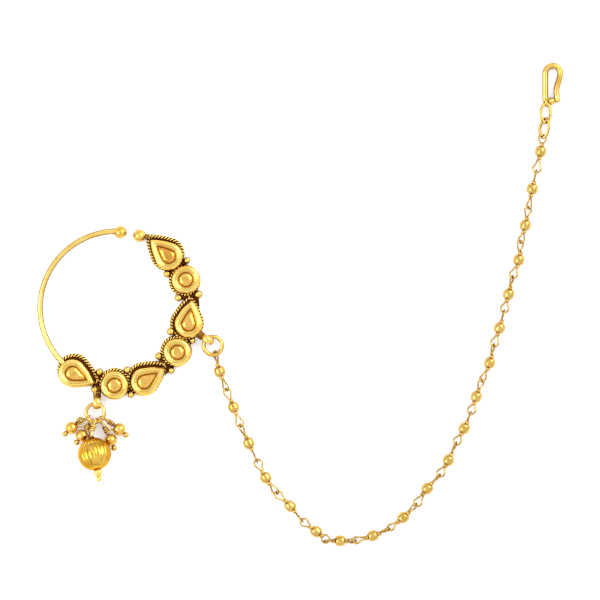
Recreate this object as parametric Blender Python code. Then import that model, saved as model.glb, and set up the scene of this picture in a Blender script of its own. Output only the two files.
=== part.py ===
"""Nath nose ring: an open wire hoop with a row of stone settings, a cluster of drops and a bead chain.

It lies flat, as on a table: +X to the right, +Y up the page, +Z away from the table. All sizes are in metres.
Places are worked out from the hoop's centre, and the finished jewel is then moved so that the middle of its
footprint is the origin.
"""

import math
from collections import namedtuple

import bmesh
import bpy
from mathutils import Matrix, Vector

# Hoop: bare wire on the left, from a ball end round to the fourth pear setting
HOOP_RADIUS = 0.0200
HOOP_WIRE = 0.0014
HOOP_HEIGHT = 0.00145
HOOP_END_BALL = 0.0032
HOOP_BARE_FROM_DEG = 87.4
HOOP_BARE_TO_DEG = 227.5
HOOP_NECK_FROM_DEG = 62.0
HOOP_NECK_TO_DEG = 72.8
HOOP_STEPS = 26
HOOP_END_INSET = 0.0003

# Settings: a domed band round a sunk stone, on a plate whose edge carries a rope border
ROUND_SIDE = 0.00365
PEAR_SIDE = 0.00360
PEAR_TIP = 0.00645
TIP_SPREAD = 1.45
FLANK_BULGE = 0.045
BAND_HEIGHT = 0.0022
CREST_HEIGHT = 0.0032
CREST_INSET = 0.00092
LIP_HEIGHT = 0.0027
WELL_INSET = 0.00165
SEAT_HEIGHT = 0.0019
CUP_FOOT = 0.0005
PEAR_ROPE_REACH = 0.00085
ROUND_ROPE_REACH = 0.00050
ROPE_WIDTH = 0.00085
ROPE_HEIGHT = 0.00145
ROUND_STEPS = 14
PEAR_ARC_POINTS = 10
ROUND_LIFT = 0.0001

# Stones: a girdle, a ring of crown facets and a flat table
STONE_GAP = 0.00012
STONE_GIRDLE = 0.00030
STONE_CROWN = 0.00040
STONE_BEVEL = 0.00035
STONE_TABLE_SHARE = 0.55
STONE_FACETS = 12

# Plate under the row, and the bars that carry the pairs of granules between settings
PLATE_INNER = 0.0022
PLATE_OUTER = 0.0014
PLATE_BOTTOM = 0.00015
PLATE_TOP = 0.0009
PLATE_FROM_DEG = -127.0
PLATE_TO_DEG = 58.0
PLATE_STEPS = 14
BAR_WIDTH = 0.0015
BAR_BOTTOM = 0.00025
BAR_TOP = 0.0011
GRANULE_HEIGHT = 0.00135

# Loops soldered to the row's outer edge, and the jump rings that hang in them
LOOP_OUTER = 0.00175
LOOP_HOLE = 0.00085
LOOP_WIDTH = 0.0020
LOOP_HEIGHT = 0.0018
LOOP_STEM = 0.0030
LOOP_STEM_WIDTH = 0.0014

# Drops: a drilled bead on a head pin whose eye hangs on the drop ring
DROP_BEAD = 0.0032
DROP_WIRE = 0.00046
DROP_EYE_RADIUS = 0.00080
DROP_HEAD = 0.0015
DROP_WRAP = 0.0015
DROP_WRAP_GAP = 0.0002
DROP_HOLE_GAP = 0.0001
MELON_BEAD = 0.0086
MELON_WIRE = 0.00060
MELON_HOLE_GAP = 0.00012
MELON_RIBS = 14
MELON_GROOVE = 0.00018
MELON_DISTANCE = 0.01058
MELON_DIRECTION_DEG = -90.4
MELON_AXIS_DEG = 101.5
MELON_NOSE_DOWN_DEG = 14.0
MELON_EYE_DEG = -90.0
MELON_CONE = 0.0022
MELON_BALL = 0.0015

# Chain: each link is a barrel bead on a wire with a wrapped collar and an eye at both ends
CHAIN_BEAD = 0.0028
CHAIN_BEAD_LENGTH = 0.0027
BEAD_FLAT = 0.62
CHAIN_WIRE = 0.0005
COLLAR_LENGTH = 0.0011
COLLAR_WIDTH = 0.00125
EYE_WIDTH = 0.00184
EYE_OVERLAP = 0.00030
EYE_SHORTEST = 0.0017
EYE_BEND_DEG = 125.0
RING_GAP = 0.0001
CHAIN_START_DEG = -72.8

# Plain oval links and the hook that pins into the hair
OVAL_LENGTH = 0.00575
OVAL_WIDTH = 0.0035
OVAL_WIRE = 0.00074
OVAL_GAP = 0.0001
OVAL_OVERLAP = 0.00109
OVAL_HEIGHT = 0.00125
HOOK_WIRE = 0.00148
HOOK_CLEAR = 0.0001
HOOK_FOOT = 0.00075
HOOK_BEND = 0.00195
HOOK_LEG = 0.0078
HOOK_WAIST_DROP = 0.0046
HOOK_WAIST_INSET = 0.00100
HOOK_TIP_DROP = 0.0070
HOOK_TIP_INSET = 0.00070
HOOK_BALL = 0.00195
HOOK_BALL_ASIDE = 0.00160
HOOK_BALL_AHEAD = 0.0005
HOOK_EYE_WIRE = 0.00062
HOOK_EYE_HOLE = 0.00050
HOOK_EYE_ASIDE = 0.0002
HOOK_EYE_AHEAD = 0.00013

GRAIN = 1e-7  # below this a length counts as nothing
JOIN_SCALE = 1000.0

# A setting stands at a turn round the hoop and a share of its radius; a pear's tip is turned off the tangent,
# and the plate with the rope border lies a little to one side under its band
Setting = namedtuple("Setting", "name kind around_deg radius_share tip_off_deg plate_shift plate_shift_deg")
SETTINGS = (
    Setting("pear_1", "pear", 44.8, 0.951, 3.3, 0.0006, 120.0),
    Setting("round_1", "round", 22.4, 0.969, 0.0, 0.0003, 215.0),
    Setting("pear_2", "pear", -12.6, 0.955, 5.2, 0.00055, 160.0),
    Setting("round_2", "round", -36.1, 0.975, 0.0, 0.00035, 144.0),
    Setting("pear_3", "pear", -69.6, 1.024, 13.6, 0.00065, 110.0),
    Setting("round_3", "round", -91.8, 1.005, 0.0, 0.0002, 88.0),
    Setting("pear_4", "pear", -124.3, 1.025, 9.7, 0.0006, 60.0),
)

# Granules stand in pairs, one inside and one outside the hoop's circle, with their own radii
Granules = namedtuple("Granules", "around_deg inner_share outer_share inner_radius outer_radius")
GRANULES = (
    Granules(34.3, 0.788, 1.101, 0.00091, 0.00083),
    Granules(9.6, 0.808, 1.073, 0.00094, 0.00099),
    Granules(-23.5, 0.762, 1.068, 0.00096, 0.00075),
    Granules(-49.0, 0.825, 1.075, 0.00091, 0.00083),
    Granules(-80.8, 0.814, 1.138, 0.00091, 0.00086),
    Granules(-105.3, 0.861, 1.095, 0.00091, 0.00091),
)

# A loop's plane is upright, along its axis; its ring's centre lies ahead of the hole, and its far side rises
HANGER_FIELDS = "name around_deg reach axis_deg ring_outer ring_wire ring_deg ring_ahead ring_rise"
Hanger = namedtuple("Hanger", HANGER_FIELDS)
DROP_HANGER = Hanger("drop_jump_ring", -102.0, 0.00515, -92.0, 0.00565, 0.00092, -99.0, 0.00033, 0.00015)
CHAIN_HANGER = Hanger("chain_jump_ring", -19.1, 0.0049, -30.6, 0.0058, 0.00104, -49.3, -0.00020, -0.00040)

# A drop's eye sits at a turn round the drop ring; its bead lies on the table, aside of the ring's centre, and
# its head pin looks out at its own turn
Drop = namedtuple("Drop", "name ring_deg bead_x bead_y head_deg")
DROPS = (
    Drop("drop_1", 208.0, -0.00619, -0.00385, 224.0),
    Drop("drop_2", 244.0, -0.00346, -0.00585, 233.0),
    Drop("drop_3", 326.0, 0.00624, -0.00424, -40.0),
    Drop("drop_4", 298.0, 0.00403, -0.00702, -68.0),
)

# The chain's route, chosen by hand: where each link ends, measured from the chain ring's centre, how far its
# first and last eye are rolled out of the flat, and how many millimetres its bead sits off its middle
ChainLink = namedtuple("ChainLink", "end_x end_y first_roll_deg last_roll_deg bead_x_mm bead_y_mm")
CHAIN_ROUTE = (
    ChainLink(0.00351, -0.01144, 60, 50, -0.3, -0.1),
    ChainLink(0.00715, -0.02072, -30, 15, 0, 0.1),
    ChainLink(0.01144, -0.02995, -60, 90, 0, 0),
    ChainLink(0.01656, -0.03827, 0, 42, -0.3, -0.2),
    ChainLink(0.02314, -0.04550, -30, 85, 0.2, 0.2),
    ChainLink(0.02984, -0.05070, 10, 5, 0.35, -0.2),
    ChainLink(0.03655, -0.05075, 90, 62, -0.1, 0),
    ChainLink(0.04568, -0.04763, -38, 72, 0.45, -0.2),
    ChainLink(0.05278, -0.04134, -45, 58, 0.2, -0.2),
    ChainLink(0.05886, -0.03367, -10, 75, -0.1, 0.4),
    ChainLink(0.06318, -0.02540, -20, 75, 0.2, -0.2),
    ChainLink(0.06700, -0.01747, -20, 90, 0.2, 0),
    ChainLink(0.06991, -0.00902, 5, 45, 0, 0),
    ChainLink(0.07298, 0.00013, -50, 68, 0.5, 0),
    ChainLink(0.07566, 0.00897, -20, 90, 0.2, 0.1),
    ChainLink(0.07787, 0.01789, 10, 68, 0.1, 0),
    ChainLink(0.08000, 0.02699, -20, 42, 0.6, -0.1),
    ChainLink(0.08203, 0.03588, -48, 35, 0.2, -0.1),
    ChainLink(0.08403, 0.04532, -58, 85, 0, 0.2),
    ChainLink(0.08580, 0.05455, -5, 20, 0.3, 0.6),
)

# Oval links lie on from the chain's end: their turn on the page and their roll
OvalLink = namedtuple("OvalLink", "name heading_deg roll_deg")
OVAL_LINKS = (
    OvalLink("oval_link_2", 80.5, -38.0),
    OvalLink("oval_link_1", 88.7, 20.0),
)


def clear_scene():
    for thing in list(bpy.data.objects):
        bpy.data.objects.remove(thing, do_unlink=True)


def metal(name, colour, roughness):
    made = bpy.data.materials.new(name)
    made.use_nodes = True
    shader = made.node_tree.nodes["Principled BSDF"]
    shader.inputs["Base Color"].default_value = (*colour, 1.0)
    shader.inputs["Roughness"].default_value = roughness
    shader.inputs["Metallic"].default_value = 1.0
    return made


def foiled_glass(name, colour, roughness):
    made = metal(name, colour, roughness)
    made.node_tree.nodes["Principled BSDF"].inputs["Metallic"].default_value = 0.0
    return made


def polar(radius, degrees, height=0.0):
    angle = math.radians(degrees)
    return Vector((radius * math.cos(angle), radius * math.sin(angle), height))


def around(count, first_deg=0.0, last_deg=360.0, both_ends=False):
    steps = count - 1 if both_ends else count
    return [first_deg + (last_deg - first_deg) * i / steps for i in range(count)]


def lying(place, heading_deg, roll_deg=0.0):
    """A frame with X along a heading on the page, turned about that X by a roll."""
    turn = Matrix.Rotation(math.radians(heading_deg), 4, "Z")
    return Matrix.Translation(place) @ turn @ Matrix.Rotation(math.radians(roll_deg), 4, "X")


def aimed(place, direction):
    """A frame with X along a direction, Y level and Z as near to up as it can be."""
    forward = direction.normalized()
    side = Vector((0.0, 0.0, 1.0)).cross(forward).normalized()
    rise = forward.cross(side)
    turn = Matrix((forward, side, rise)).transposed().to_4x4()
    return Matrix.Translation(place) @ turn


def skin(name, rings, looped=False):
    """A closed solid through rings of points. A ring of one point is a tip; other ends are capped flat."""
    mesh = bmesh.new()
    rows = [[mesh.verts.new(point) for point in ring] for ring in rings]
    pairs = list(zip(rows, rows[1:]))
    if looped:
        pairs.append((rows[-1], rows[0]))
    for near, far in pairs:
        count = max(len(near), len(far))
        for i in range(count):
            j = (i + 1) % count
            if len(near) == 1:
                mesh.faces.new((near[0], far[j], far[i]))
            elif len(far) == 1:
                mesh.faces.new((near[i], near[j], far[0]))
            else:
                mesh.faces.new((near[i], near[j], far[j], far[i]))
    if not looped:
        for end in (rows[0], rows[-1]):
            if len(end) > 1:
                mesh.faces.new(end)
    bmesh.ops.recalc_face_normals(mesh, faces=mesh.faces)
    bmesh.ops.triangulate(mesh, faces=mesh.faces)
    data = bpy.data.meshes.new(name)
    mesh.to_mesh(data)
    mesh.free()
    made = bpy.data.objects.new(name, data)
    bpy.context.scene.collection.objects.link(made)
    return made


def turned(name, profile, sides, frame=Matrix()):
    """A solid turned about X from rows of (along, radius)."""
    rings = []
    for along, radius in profile:
        if radius < GRAIN:
            rings.append([Vector((along, 0.0, 0.0))])
        else:
            rings.append([polar_yz(along, radius, degrees) for degrees in around(sides)])
    return placed(skin(name, rings), frame)


def drilled(name, profile, hole_radius, sides, frame=Matrix()):
    """A solid turned about X with a round hole along it. The profile runs between the hole's two ends."""
    first, last = profile[0][0], profile[-1][0]
    rows = [(first, hole_radius)] + list(profile[1:-1]) + [(last, hole_radius)]
    rings = [[polar_yz(along, radius, degrees) for degrees in around(sides)] for along, radius in rows]
    return placed(skin(name, rings, looped=True), frame)


def polar_yz(along, radius, degrees):
    flat = polar(radius, degrees)
    return Vector((along, flat.x, flat.y))


def tube(name, points, radius, sides, looped=False, normal=None, frame=Matrix()):
    """A wire along points. A flat route is given its plane's normal; another works out its own frames."""
    count = len(points)
    rings = []
    up = normal
    for i, point in enumerate(points):
        before = points[i - 1] if looped or i > 0 else point
        after = points[(i + 1) % count] if looped or i < count - 1 else point
        tangent = (after - before).normalized()
        if normal is None:
            guess = up if up is not None else tangent.orthogonal()
            up = (guess - tangent * guess.dot(tangent)).normalized()
        side = up.cross(tangent).normalized()
        rings.append([point + side * spot.x + up * spot.y for spot in wire_section(radius, sides)])
    return placed(skin(name, rings, looped=looped), frame)


def wire_section(radius, sides):
    return [polar(radius, degrees) for degrees in around(sides)]


def ball(name, radius, centre, sides=10, levels=6):
    """A round ball with its poles up and down."""
    rows = []
    for degrees in around(levels + 1, -90.0, 90.0, both_ends=True):
        spot = polar(radius, degrees)
        rows.append((spot.y, 0.0 if abs(abs(degrees) - 90.0) < 1.0 else spot.x))
    upright = Matrix.Translation(centre) @ Matrix.Rotation(math.radians(-90.0), 4, "Y")
    return turned(name, rows, sides, upright)


def block(name, lengths, frame):
    half = [length / 2 for length in lengths]
    corners = [(-1, -1), (1, -1), (1, 1), (-1, 1)]
    rings = [[Vector((side * half[0], y * half[1], z * half[2])) for y, z in corners] for side in (-1, 1)]
    return placed(skin(name, rings), frame)


def placed(made, frame):
    made.matrix_world = frame @ made.matrix_world
    return made


def fuse(name, pieces, solver="EXACT"):
    """One solid from pieces that overlap, which are used up. They are joined enlarged: it is more exact."""
    for piece in pieces:
        piece.data.transform(Matrix.Scale(JOIN_SCALE, 4) @ piece.matrix_world)
        piece.matrix_world = Matrix()
    body = pieces[0]
    for piece in pieces[1:]:
        join = body.modifiers.new("join", "BOOLEAN")
        join.operation = "UNION"
        join.solver = solver
        join.object = piece
    bpy.context.view_layer.update()
    whole = body.evaluated_get(bpy.context.evaluated_depsgraph_get())
    data = bpy.data.meshes.new_from_object(whole)
    data.transform(Matrix.Scale(1.0 / JOIN_SCALE, 4))
    body.modifiers.clear()
    body.data = data
    for piece in pieces[1:]:
        bpy.data.objects.remove(piece, do_unlink=True)
    body.name = name
    data.name = name
    return body


def finish(made, surface, smooth_deg=40.0):
    made.data.materials.clear()
    made.data.materials.append(surface)
    made.data.shade_smooth()
    made.data.set_sharp_from_angle(angle=math.radians(smooth_deg))
    return made


def outline(kind, inset, height, facets=False):
    """A setting's outline anticlockwise from its tip, drawn in by an inset, or grown by a negative one."""
    if kind == "round":
        count = STONE_FACETS if facets else ROUND_STEPS
        return [polar(ROUND_SIDE - inset, degrees, height) for degrees in around(count)]
    side = PEAR_SIDE - inset
    tip = PEAR_TIP - inset * TIP_SPREAD
    meet_deg = math.degrees(math.acos(side / tip))
    return pear_points(side, tip, meet_deg, height, facets)


def pear_points(side, tip, meet_deg, height, facets):
    """A point, two slightly bowed flanks and a round end that they meet at its tangents."""
    flank_steps = 2 if facets else 3
    arc_count = STONE_FACETS - 3 if facets else PEAR_ARC_POINTS
    start = Vector((tip, 0.0, height))
    meet = polar(side, meet_deg, height)
    bow = polar(FLANK_BULGE * (start - meet).length, meet_deg)
    upper = []
    for step in range(1, flank_steps):
        share = step / flank_steps
        upper.append(start.lerp(meet, share) + bow * (4.0 * share * (1.0 - share)))
    turns = around(arc_count, meet_deg, 360.0 - meet_deg, both_ends=True)
    arc = [polar(side, degrees, height) for degrees in turns]
    lower = [Vector((point.x, -point.y, point.z)) for point in reversed(upper)]
    return [start] + upper + arc + lower


def heading_of(setting):
    return setting.around_deg + 90.0 + setting.tip_off_deg


def lift_of(setting):
    return ROUND_LIFT if setting.kind == "round" else 0.0


def setting_frame(setting, shift=0.0):
    centre = polar(HOOP_RADIUS * setting.radius_share, setting.around_deg)
    centre += polar(shift, setting.plate_shift_deg, lift_of(setting))
    return lying(centre, heading_of(setting))


def rope_reach(setting):
    return ROUND_ROPE_REACH if setting.kind == "round" else PEAR_ROPE_REACH


def cup(setting):
    """The domed band: up its outer wall, over the crest, down to the lip and into the stone's well."""
    rise = CREST_HEIGHT - BAND_HEIGHT
    rows = (
        (0.0, CUP_FOOT),
        (0.0, BAND_HEIGHT),
        (0.4 * CREST_INSET, BAND_HEIGHT + 0.65 * rise),
        (CREST_INSET, CREST_HEIGHT),
        (WELL_INSET, LIP_HEIGHT),
        (WELL_INSET, SEAT_HEIGHT),
    )
    rings = [outline(setting.kind, inset, height) for inset, height in rows]
    return placed(skin("cup", rings), setting_frame(setting))


def rope_plate(setting):
    """The setting's own plate, whose rounded rim is the rope border."""
    reach = rope_reach(setting)
    rows = (
        (-reach, 0.0),
        (-reach, 0.75 * ROPE_HEIGHT),
        (ROPE_WIDTH / 2 - reach, ROPE_HEIGHT),
        (1.5 * ROPE_WIDTH - reach, 0.7 * ROPE_HEIGHT),
    )
    rings = [outline(setting.kind, inset, height) for inset, height in rows]
    return placed(skin("rope", rings), setting_frame(setting, setting.plate_shift))


def stone(setting):
    """A cut stone: it rests on its flat back, with a girdle, a ring of crown facets and a table."""
    girdle = WELL_INSET + STONE_GAP
    back_height = SEAT_HEIGHT + STONE_GAP
    full = outline(setting.kind, girdle, back_height + STONE_GIRDLE, facets=True)
    table_height = back_height + STONE_GIRDLE + STONE_CROWN
    table = [Vector((p.x * STONE_TABLE_SHARE, p.y * STONE_TABLE_SHARE, table_height)) for p in full]
    rings = [outline(setting.kind, girdle + STONE_BEVEL, back_height, facets=True), full, table]
    return placed(skin("stone_" + setting.name, rings), setting_frame(setting))


def hoop_pieces():
    section = HOOP_WIRE / 2
    up = Vector((0.0, 0.0, 1.0))
    bare = around(HOOP_STEPS, HOOP_BARE_FROM_DEG, HOOP_BARE_TO_DEG, both_ends=True)
    neck = around(3, HOOP_NECK_FROM_DEG, HOOP_NECK_TO_DEG, both_ends=True)
    pieces = []
    for name, turns in (("bare_wire", bare), ("neck_wire", neck)):
        route = [polar(HOOP_RADIUS, degrees, HOOP_HEIGHT) for degrees in turns]
        pieces.append(tube(name, route, section, 8, normal=up))
    for degrees in (HOOP_BARE_FROM_DEG, HOOP_NECK_TO_DEG):
        centre = polar(HOOP_RADIUS - HOOP_END_INSET, degrees, HOOP_END_BALL / 2)
        pieces.append(ball("end_ball", HOOP_END_BALL / 2, centre, 10, 6))
    return pieces


def row_plate():
    """The curved plate that the whole row is soldered to."""
    inner, outer = HOOP_RADIUS - PLATE_INNER, HOOP_RADIUS + PLATE_OUTER
    section = ((inner, PLATE_BOTTOM), (outer, PLATE_BOTTOM), (outer, PLATE_TOP), (inner, PLATE_TOP))
    turns = around(PLATE_STEPS, PLATE_FROM_DEG, PLATE_TO_DEG, both_ends=True)
    rings = [[polar(radius, degrees, height) for radius, height in section] for degrees in turns]
    return skin("row_plate", rings)


def granule_pieces(pair):
    inner = polar(HOOP_RADIUS * pair.inner_share, pair.around_deg, GRANULE_HEIGHT)
    outer = polar(HOOP_RADIUS * pair.outer_share, pair.around_deg, GRANULE_HEIGHT)
    middle = (inner + outer) / 2
    middle.z = (BAR_BOTTOM + BAR_TOP) / 2
    lengths = ((outer - inner).length, BAR_WIDTH, BAR_TOP - BAR_BOTTOM)
    return [
        block("bar", lengths, lying(middle, pair.around_deg)),
        ball("granule", pair.inner_radius, inner, 8, 4),
        ball("granule", pair.outer_radius, outer, 8, 4),
    ]


def loop_centre(hanger):
    return polar(HOOP_RADIUS + hanger.reach, hanger.around_deg, LOOP_HEIGHT)


def loop_pieces(hanger):
    """A wide upright loop, and the stem that solders it into the row."""
    middle = (LOOP_OUTER + LOOP_HOLE) / 2
    thick = (LOOP_OUTER - LOOP_HOLE) / 2
    rings = []
    for degrees in around(10):
        centre = polar(middle, degrees)
        outward = polar(1.0, degrees)
        ring = []
        for spot in wire_section(1.0, 6):
            flat = centre + outward * (spot.x * thick)
            ring.append(Vector((flat.x, spot.y * LOOP_WIDTH / 2, flat.y)))
        rings.append(ring)
    centre = loop_centre(hanger)
    eyelet = placed(skin("loop", rings, looped=True), lying(centre, hanger.axis_deg))
    back = centre - polar((LOOP_HOLE + LOOP_OUTER + LOOP_STEM) / 2, hanger.axis_deg)
    back.z = (BAR_TOP + BAND_HEIGHT) / 2
    stem = block("stem", (LOOP_STEM, LOOP_STEM_WIDTH, BAR_TOP), lying(back, hanger.axis_deg))
    return [eyelet, stem]


def frame_piece():
    pieces = [row_plate()]
    pieces += [rope_plate(setting) for setting in SETTINGS]
    for pair in GRANULES:
        pieces += granule_pieces(pair)
    for hanger in (DROP_HANGER, CHAIN_HANGER):
        pieces += loop_pieces(hanger)
    pieces += [cup(setting) for setting in SETTINGS]
    pieces += hoop_pieces()
    return fuse("nath_frame", pieces, solver="MANIFOLD")


def ring_radius(hanger):
    return (hanger.ring_outer - hanger.ring_wire) / 2


def ring_frame(hanger):
    """A jump ring's own frame: X away from its loop, tilted so that its far side lies higher or lower."""
    radius = ring_radius(hanger)
    tilt = hanger.ring_rise / (2.0 * radius)
    forward = polar(math.sqrt(1.0 - tilt * tilt), hanger.ring_deg, tilt)
    return aimed(loop_centre(hanger) + forward * (radius + hanger.ring_ahead), forward)


def ring_point(hanger, degrees, inward=0.0):
    return ring_frame(hanger) @ polar(ring_radius(hanger) - inward, degrees - hanger.ring_deg)


def circle_wire(name, radius, wire, steps, sides, frame=Matrix()):
    up = Vector((0.0, 0.0, 1.0))
    route = [polar(radius, degrees) for degrees in around(steps)]
    return tube(name, route, wire / 2, sides, looped=True, normal=up, frame=frame)


def upright(frame):
    """The same place with the page's plane turned up about X."""
    return frame @ Matrix.Rotation(math.radians(90.0), 4, "X")


def jump_ring(hanger):
    return circle_wire(hanger.name, ring_radius(hanger), hanger.ring_wire, 14, 6, ring_frame(hanger))


def ball_rows(along, radius, levels, first_deg=-90.0, last_deg=90.0):
    """Rows of (along, radius) over a ball's surface."""
    rows = []
    for degrees in around(levels + 1, first_deg, last_deg, both_ends=True):
        spot = polar(radius, degrees)
        rows.append((along + spot.y, max(spot.x, 0.0)))
    return rows


def drop_frame(drop):
    """A bead's place on the table, with X along its hole towards the pin's head."""
    place = ring_frame(DROP_HANGER).translation + Vector((drop.bead_x, drop.bead_y, 0.0))
    place.z = DROP_BEAD / 2
    return lying(place, drop.head_deg)


def drop_bead(drop):
    hole = DROP_WIRE / 2 + DROP_HOLE_GAP
    open_deg = math.degrees(math.acos(hole / (DROP_BEAD / 2)))
    rows = ball_rows(0.0, DROP_BEAD / 2, 5, -open_deg, open_deg)
    return drilled(drop.name + "_bead", rows, hole, 10, drop_frame(drop))


def drop_pin(drop):
    """The head and the pin through the bead, and the wound wire from there to the eye on the drop ring."""
    frame = drop_frame(drop)
    wire = DROP_WIRE / 2
    bead_side = DROP_BEAD / 2 + DROP_HOLE_GAP
    inside_wrap = -(bead_side + 2 * DROP_WRAP_GAP)
    head = bead_side + 0.4 * DROP_HEAD
    rows = [(inside_wrap, 0.0), (inside_wrap, wire), (bead_side, wire)]
    rows += ball_rows(head, DROP_HEAD / 2, 4, -90.0 + math.degrees(math.asin(wire / (DROP_HEAD / 2))), 90.0)
    eye_place = ring_point(DROP_HANGER, drop.ring_deg)
    run = frame @ Vector((-bead_side, 0.0, 0.0)) - eye_place
    stem = aimed(eye_place, run)
    near, far = DROP_EYE_RADIUS + wire / 2, run.length - DROP_WRAP_GAP
    wrap_rows = [(near, 0.0), (near, DROP_WRAP / 2), (far, DROP_WRAP / 2), (far, 0.0)]
    wound = turned("wound", wrap_rows, 8, stem)
    eye = circle_wire("eye", DROP_EYE_RADIUS, DROP_WIRE, 10, 5, upright(stem))
    return fuse(drop.name + "_pin", [turned("pin", rows, 8, frame), wound, eye])


def melon_frame():
    """X runs along the melon bead's hole towards the drop ring, nose down. The bead rests on the table."""
    centre = ring_frame(DROP_HANGER).translation + polar(MELON_DISTANCE, MELON_DIRECTION_DEG)
    centre.z = MELON_BEAD / 2
    down = math.radians(MELON_NOSE_DOWN_DEG)
    return aimed(centre, polar(math.cos(down), MELON_AXIS_DEG, -math.sin(down)))


def melon_bead():
    """A drilled round bead with raised ribs from pole to pole."""
    hole = MELON_WIRE / 2 + MELON_HOLE_GAP
    open_deg = math.degrees(math.acos(hole / (MELON_BEAD / 2)))
    rows = ball_rows(0.0, MELON_BEAD / 2, 6, -open_deg, open_deg)
    sides = 2 * MELON_RIBS
    rings = []
    for along, radius in rows:
        groove = MELON_GROOVE * min(1.0, (radius - hole) / hole)
        ring = []
        for i, degrees in enumerate(around(sides)):
            ring.append(polar_yz(along, radius - groove * (i % 2), degrees))
        rings.append(ring)
    return placed(skin("melon_bead", rings, looped=True), melon_frame())


def melon_pin():
    """Cone and ball under the bead, the wire through it, and a wrapped eye bent down to the drop ring."""
    frame = melon_frame()
    wire = MELON_WIRE / 2
    seat = MELON_BEAD / 2 + MELON_HOLE_GAP
    cone = MELON_CONE / 2
    small = MELON_BALL / 2
    ball_at = -(seat + 1.5 * cone + small)
    rows = ball_rows(ball_at, small, 4, -90.0, 60.0)
    rows += [
        (-(seat + 1.4 * cone), 0.5 * cone),
        (-(seat + 0.9 * cone), 0.9 * cone),
        (-(seat + 0.4 * cone), cone),
        (-seat, 0.8 * cone),
        (-seat, wire),
        (seat, wire),
        (seat, 2 * wire),
        (seat + 2 * wire, 1.7 * wire),
        (seat + 2 * wire, 0.0),
    ]
    core = turned("core", rows, 8, frame)
    eye_place = ring_point(DROP_HANGER, MELON_EYE_DEG)
    start = frame @ Vector((seat, 0.0, 0.0))
    bend = frame @ Vector((seat + 4 * wire, 0.0, 0.0))
    stem = aimed(eye_place, bend - eye_place)
    eye_radius = (DROP_HANGER.ring_wire + MELON_WIRE) / 2 + MELON_HOLE_GAP
    last = stem @ Vector((eye_radius, 0.0, 0.0))
    route = [start, start.lerp(bend, 0.6), bend.lerp(last, 0.2), last]
    neck = tube("neck", route, wire, 6)
    wrap_rows = [
        (eye_radius + wire / 2, 0.0),
        (eye_radius + wire / 2, 2 * wire),
        (eye_radius + 4 * wire, 2 * wire),
        (eye_radius + 4 * wire, 0.0),
    ]
    wrap = turned("wrap", wrap_rows, 8, stem)
    eye = circle_wire("eye", eye_radius, MELON_WIRE, 10, 6, upright(stem))
    return fuse("melon_pin", [core, neck, wrap, eye])


def link_eye(tip, frame):
    """A teardrop loop of wire in a plane through X: round at its tip, both legs closing inside the collar."""
    radius = EYE_WIDTH / 2
    root = CHAIN_BEAD_LENGTH / 2 + COLLAR_LENGTH - CHAIN_WIRE / 2
    legs = 0.6 * CHAIN_WIRE
    bend = around(8, -EYE_BEND_DEG, EYE_BEND_DEG, both_ends=True)
    route = [polar(radius, degrees) + Vector((tip - radius, 0.0, 0.0)) for degrees in bend]
    route += [Vector((root, legs, 0.0)), Vector((root, -legs, 0.0))]
    up = Vector((0.0, 0.0, 1.0))
    return tube("eye", route, CHAIN_WIRE / 2, 5, looped=True, normal=up, frame=frame)


def chain_link(name, start, end, link):
    """A barrel bead on its wire: a collar and an eye at both ends, fused into one piece."""
    half = CHAIN_BEAD_LENGTH / 2
    collar = COLLAR_WIDTH / 2
    bead = CHAIN_BEAD / 2
    shoulders = ((half + COLLAR_LENGTH, collar), (half, collar), (BEAD_FLAT * half, bead))
    rows = [(-along, radius) for along, radius in shoulders] + list(reversed(shoulders))
    bead_off = Vector((link.bead_x_mm, link.bead_y_mm, 0.0)) / 1000.0
    frame = aimed(start.lerp(end, 0.5) + bead_off, end - start)
    pieces = [turned("bead", rows, 10)]
    for place, roll_deg in ((end, link.last_roll_deg), (start, -link.first_roll_deg)):
        reach = frame.inverted() @ place
        tip = max(reach.length + EYE_OVERLAP, half + COLLAR_LENGTH + EYE_SHORTEST)
        roll = Matrix.Rotation(math.radians(roll_deg), 4, "X")
        pieces.append(link_eye(tip, aimed(Vector(), reach) @ roll))
    made = fuse(name, pieces)
    made.matrix_world = frame
    return made


def chain_start():
    """Where the first link's end lies: inside the chain ring's wire, so that its eye goes round it."""
    inward = (CHAIN_HANGER.ring_wire + CHAIN_WIRE) / 2 + RING_GAP - EYE_OVERLAP
    place = ring_point(CHAIN_HANGER, CHAIN_START_DEG, inward)
    return Vector((place.x, place.y, CHAIN_BEAD / 2))


def chain_links():
    centre = ring_frame(CHAIN_HANGER).translation
    start = chain_start()
    made = []
    for number, link in enumerate(CHAIN_ROUTE, start=1):
        end = Vector((centre.x + link.end_x, centre.y + link.end_y, CHAIN_BEAD / 2))
        made.append(chain_link(f"chain_link_{number:02d}", start, end, link))
        start = end
    return made, start


def oval_links(chain_end):
    """The plain links between the chain and the hook, and the place of the last one's far end."""
    reach = OVAL_LENGTH - OVAL_WIRE
    back = (CHAIN_WIRE + OVAL_WIRE) / 2 + OVAL_GAP - EYE_OVERLAP
    start = Vector((chain_end.x, chain_end.y, OVAL_HEIGHT))
    made = []
    for link in OVAL_LINKS:
        start = start - polar(back, link.heading_deg)
        frame = lying(start + polar(reach / 2, link.heading_deg), link.heading_deg, link.roll_deg)
        across = (OVAL_WIDTH - OVAL_WIRE) / 2
        route = []
        for degrees in around(14):
            spot = polar(1.0, degrees)
            route.append(Vector((spot.x * reach / 2, spot.y * across, 0.0)))
        up = Vector((0.0, 0.0, 1.0))
        made.append(tube(link.name, route, OVAL_WIRE / 2, 6, looped=True, normal=up, frame=frame))
        start = start + polar(reach, link.heading_deg)
        back = OVAL_OVERLAP
    return made, start


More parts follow.
